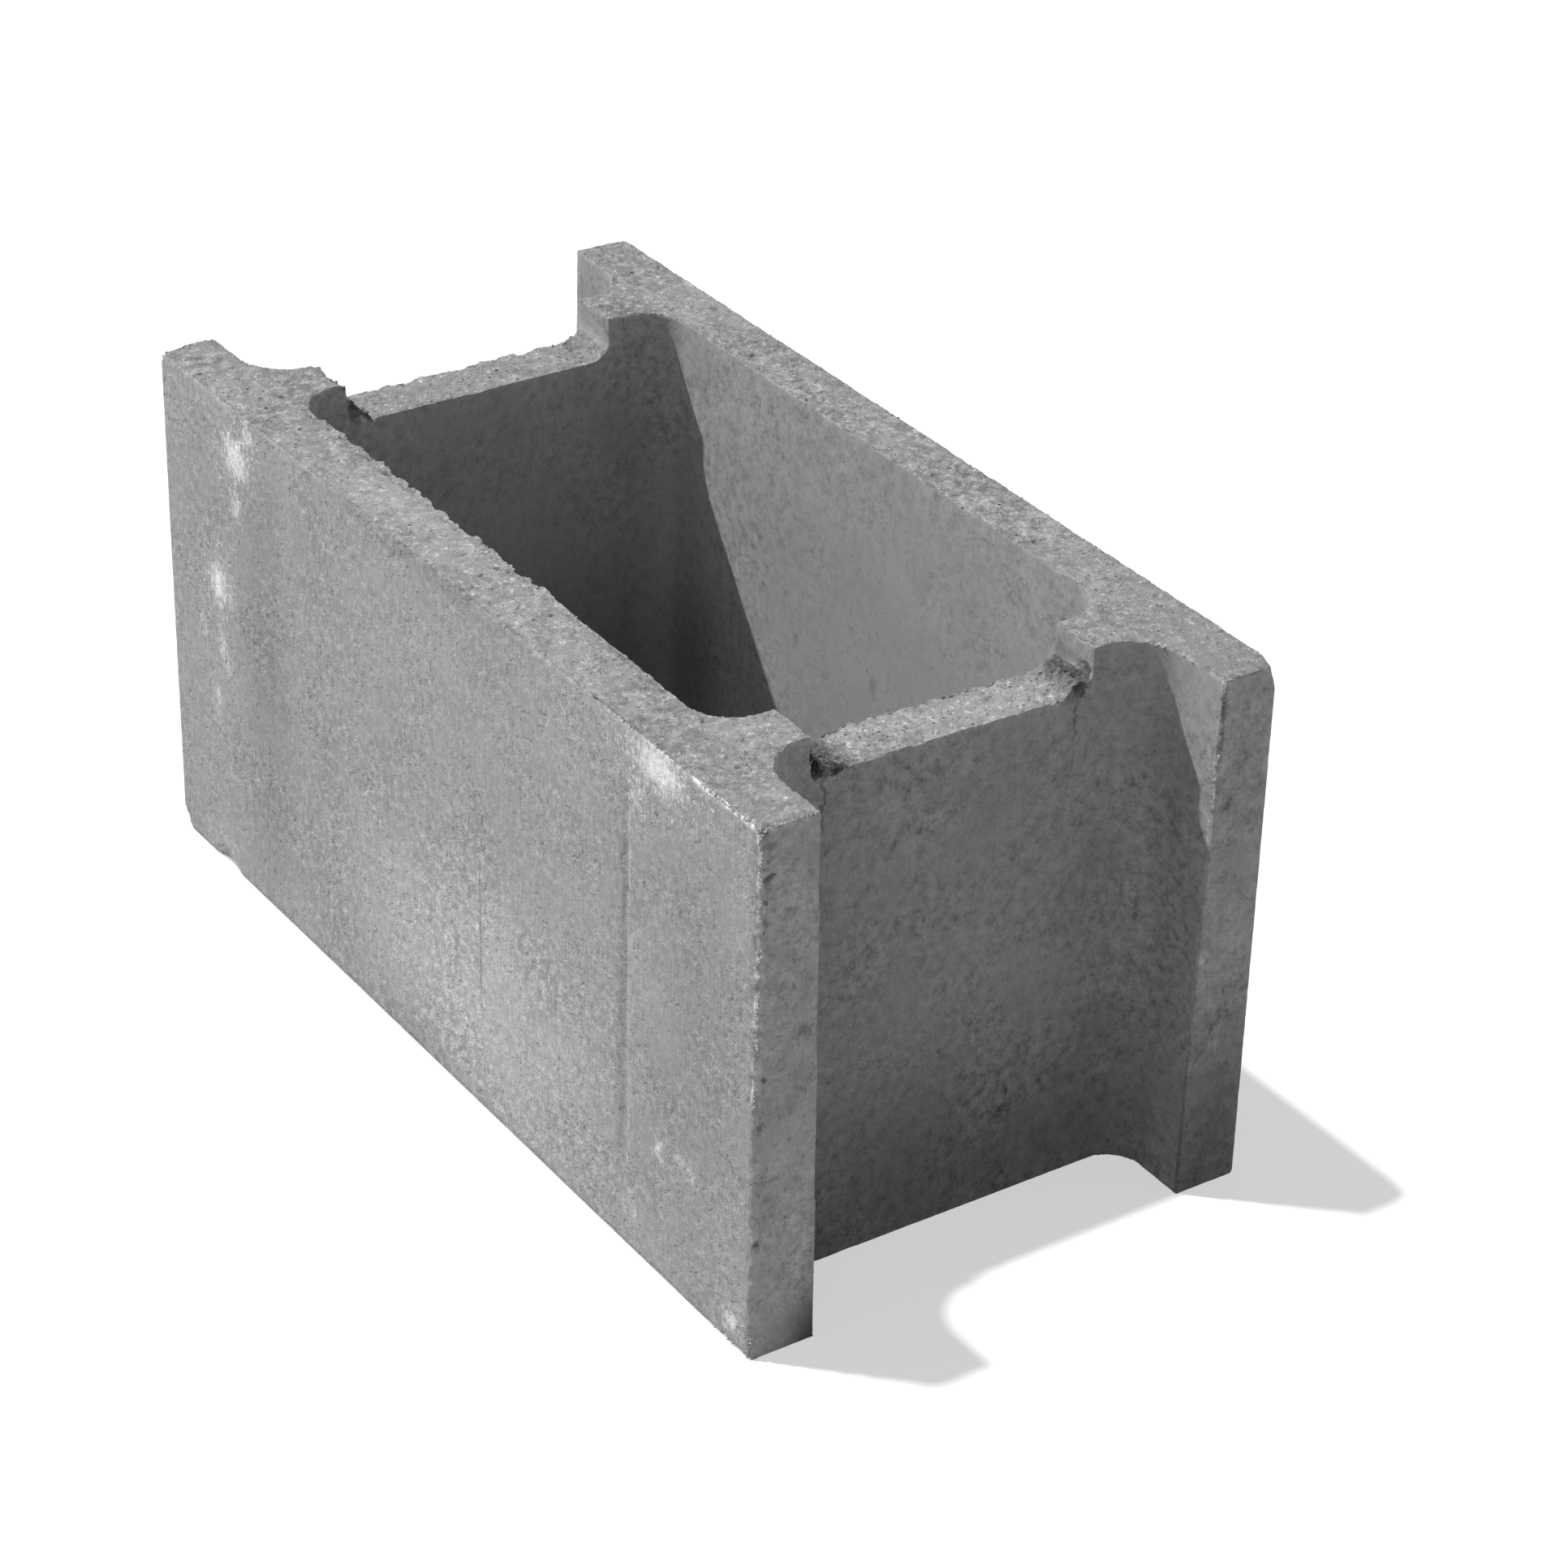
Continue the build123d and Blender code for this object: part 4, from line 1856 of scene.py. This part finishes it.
@dataclass(frozen=True)
class Studio:
    """Pale floor, even surrounding light and one key lamp.

    Attributes:
        key_travel: Direction in which the key light travels over the block.
        key_strength: Its strength.
        key_angle: Its apparent size, in degrees.
        floor_travel: Direction of the light that draws the block's shadow on the floor.
        floor_strength: Its strength.
        floor_angle: Its apparent size, in degrees.
        surround: Strength of the surrounding light.
        floor_tone: Colour of the floor, linear.
        floor_glow: What the camera sees of the floor beside the lit colour.
        ground_tone: Colour of the ground that throws light back at the block, linear.
        ground_level: Height of that ground, in mm.
        floor_half: Half the floor's side, in metres.
    """

    key_travel: Triple = (0.558, 0.376, -0.739)
    key_strength: float = 3.35
    key_angle: float = 1.0
    floor_travel: Triple = (55.0, 55.0, -250.0)
    floor_strength: float = 8.0
    floor_angle: float = 1.6
    surround: float = 0.465
    floor_tone: float = 0.2
    floor_glow: Triple = (0.545, 0.552, 0.565)
    ground_tone: float = 0.3
    ground_level: float = -0.2
    floor_half: float = 3.0

    def place(self) -> None:
        """Adds the floor, the lamps and the surroundings."""
        floor = self.floor()
        self.ground()
        self.lamp("key_lamp", self.key_travel, self.key_strength, self.key_angle, floor, "EXCLUDE")
        self.lamp("floor_lamp", self.floor_travel, self.floor_strength, self.floor_angle, floor, "INCLUDE")
        self.surroundings()

    def seen_by_camera(self, graph: Graph) -> Field:
        """Tells apart what the camera sees straight, in a gloss or through glass.

        Args:
            graph: The tree.

        Returns:
            1 for those rays and 0 for others.
        """
        ray = graph.node("ShaderNodeLightPath")
        camera, glossy, clear = (Field(graph, ray.outputs[name]) for name in
                                 ("Is Camera Ray", "Is Glossy Ray", "Is Transmission Ray"))
        return graph.math("MINIMUM", camera + glossy + clear, 1.0)

    def sheet(self, name: str, tone: float, level: float) -> Tuple[bpy.types.Object, Graph, bpy.types.Node]:
        """Adds a level sheet with a plain matt material.

        Args:
            name: Its name.
            tone: Its colour, linear.
            level: Its height, in mm.

        Returns:
            The sheet, its material's tree and the matt shader.
        """
        grid = bmesh.new()
        bmesh.ops.create_grid(grid, x_segments=1, y_segments=1, size=self.floor_half)
        bmesh.ops.translate(grid, verts=grid.verts, vec=(0.0, 0.0, level * MM))
        mesh = bpy.data.meshes.new(name)
        grid.to_mesh(mesh)
        grid.free()
        made = new_object(name, mesh)
        material = bpy.data.materials.new(name + "_matt")
        material.use_nodes = True
        material.node_tree.nodes.clear()
        mesh.materials.append(material)
        made.visible_shadow = False
        graph = Graph(material.node_tree)
        return made, graph, graph.node("ShaderNodeBsdfDiffuse", {"Color": (tone, tone, tone, 1.0)})

    def floor(self) -> bpy.types.Object:
        """Adds the floor, which the camera sees as white except in the block's shadow.

        Returns:
            The floor.
        """
        made, graph, lit = self.sheet("floor", self.floor_tone, 0.0)
        made.visible_diffuse = False
        glow = graph.node("ShaderNodeEmission", {"Color": (*self.floor_glow, 1.0),
                                                 "Strength": self.seen_by_camera(graph)})
        both = graph.node("ShaderNodeAddShader")
        graph.tree.links.new(lit.outputs[0], both.inputs[0])
        graph.tree.links.new(glow.outputs[0], both.inputs[1])
        graph.show(both)
        return made

    def ground(self) -> None:
        """Adds the ground below the floor, which only throws light back up at the block."""
        made, graph, lit = self.sheet("ground", self.ground_tone, self.ground_level)
        made.visible_camera = False
        made.visible_glossy = False
        graph.show(lit)

    def lamp(self, name: str, travel: Triple, strength: float, angle: float, floor: bpy.types.Object,
             link_state: str) -> None:
        """Adds a sun lamp that lights the floor alone, or everything but the floor.

        Args:
            name: The lamp's name.
            travel: Direction in which its light travels.
            strength: Its strength.
            angle: Its apparent size, in degrees.
            floor: The floor.
            link_state: INCLUDE for the floor alone, EXCLUDE for everything else.
        """
        data = bpy.data.lights.new(name, "SUN")
        data.energy = strength
        data.angle = math.radians(angle)
        lamp = new_object(name, data)
        lamp.rotation_euler = Vector(travel).to_track_quat("-Z", "Y").to_euler()
        linked = bpy.data.collections.new(name + "_links")
        linked.objects.link(floor)
        linked.collection_objects[0].light_linking.link_state = link_state
        lamp.light_linking.receiver_collection = linked

    def surroundings(self) -> None:
        """Adds the even surrounding light, which the camera sees as white."""
        world = bpy.data.worlds.new("surroundings")
        bpy.context.scene.world = world
        world.use_nodes = True
        world.node_tree.nodes.clear()
        graph = Graph(world.node_tree)
        strength = graph.mixed(self.seen_by_camera(graph), self.surround, 1.0)
        background = graph.node("ShaderNodeBackground", {"Color": (1.0,) * 4, "Strength": strength})
        graph.show(background, "ShaderNodeOutputWorld")


# Main


def hand_over(piece: bpy.types.Object) -> None:
    """Tells the frame what a finished piece is.

    Args:
        piece: The piece, as a plain mesh at the origin.
    """
    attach(piece, BODY)
    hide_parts(NODE)
    LOG.info("%s: %d points, %d faces", piece.name, len(piece.data.vertices), len(piece.data.polygons))


def main() -> None:
    """Builds the stage, then every piece."""
    logging.basicConfig(level=logging.INFO, format="%(message)s")
    bpy.context.scene.view_settings.view_transform = "Standard"
    PhotoCamera().place()
    Studio().place()
    groups = ConcreteGroups()
    looks = {Finish.RUBBED: RUBBED, Finish.CORE: CORE, Finish.OPEN: OPEN, Finish.END: END}
    finishes = {finish: look.material(groups) for finish, look in looks.items()}
    casting = Casting()
    block = casting.build(finishes)
    arrises = new_object("arris_lines", casting.arris_lines(casting.merged_copy()))
    grains = OpenGrains("open_grains", smallest=(0.5, 0.4, 0.25), largest=(1.3, 1.0, 0.5),
                        sink=0.2, seed=11)
    crumbs = ArrisCrumbs("arris_crumbs", smallest=(0.4, 0.4, 0.3), largest=(1.3, 1.0, 0.8),
                         sink=0.35, seed=12)
    pieces = [block, grains.build(block, arrises, GRAIN.material(groups)),
              crumbs.build(block, arrises, CRUMB.material(groups))]
    bpy.data.objects.remove(arrises)
    for piece in pieces:
        hand_over(piece)


if __name__ == "__main__":
    main()
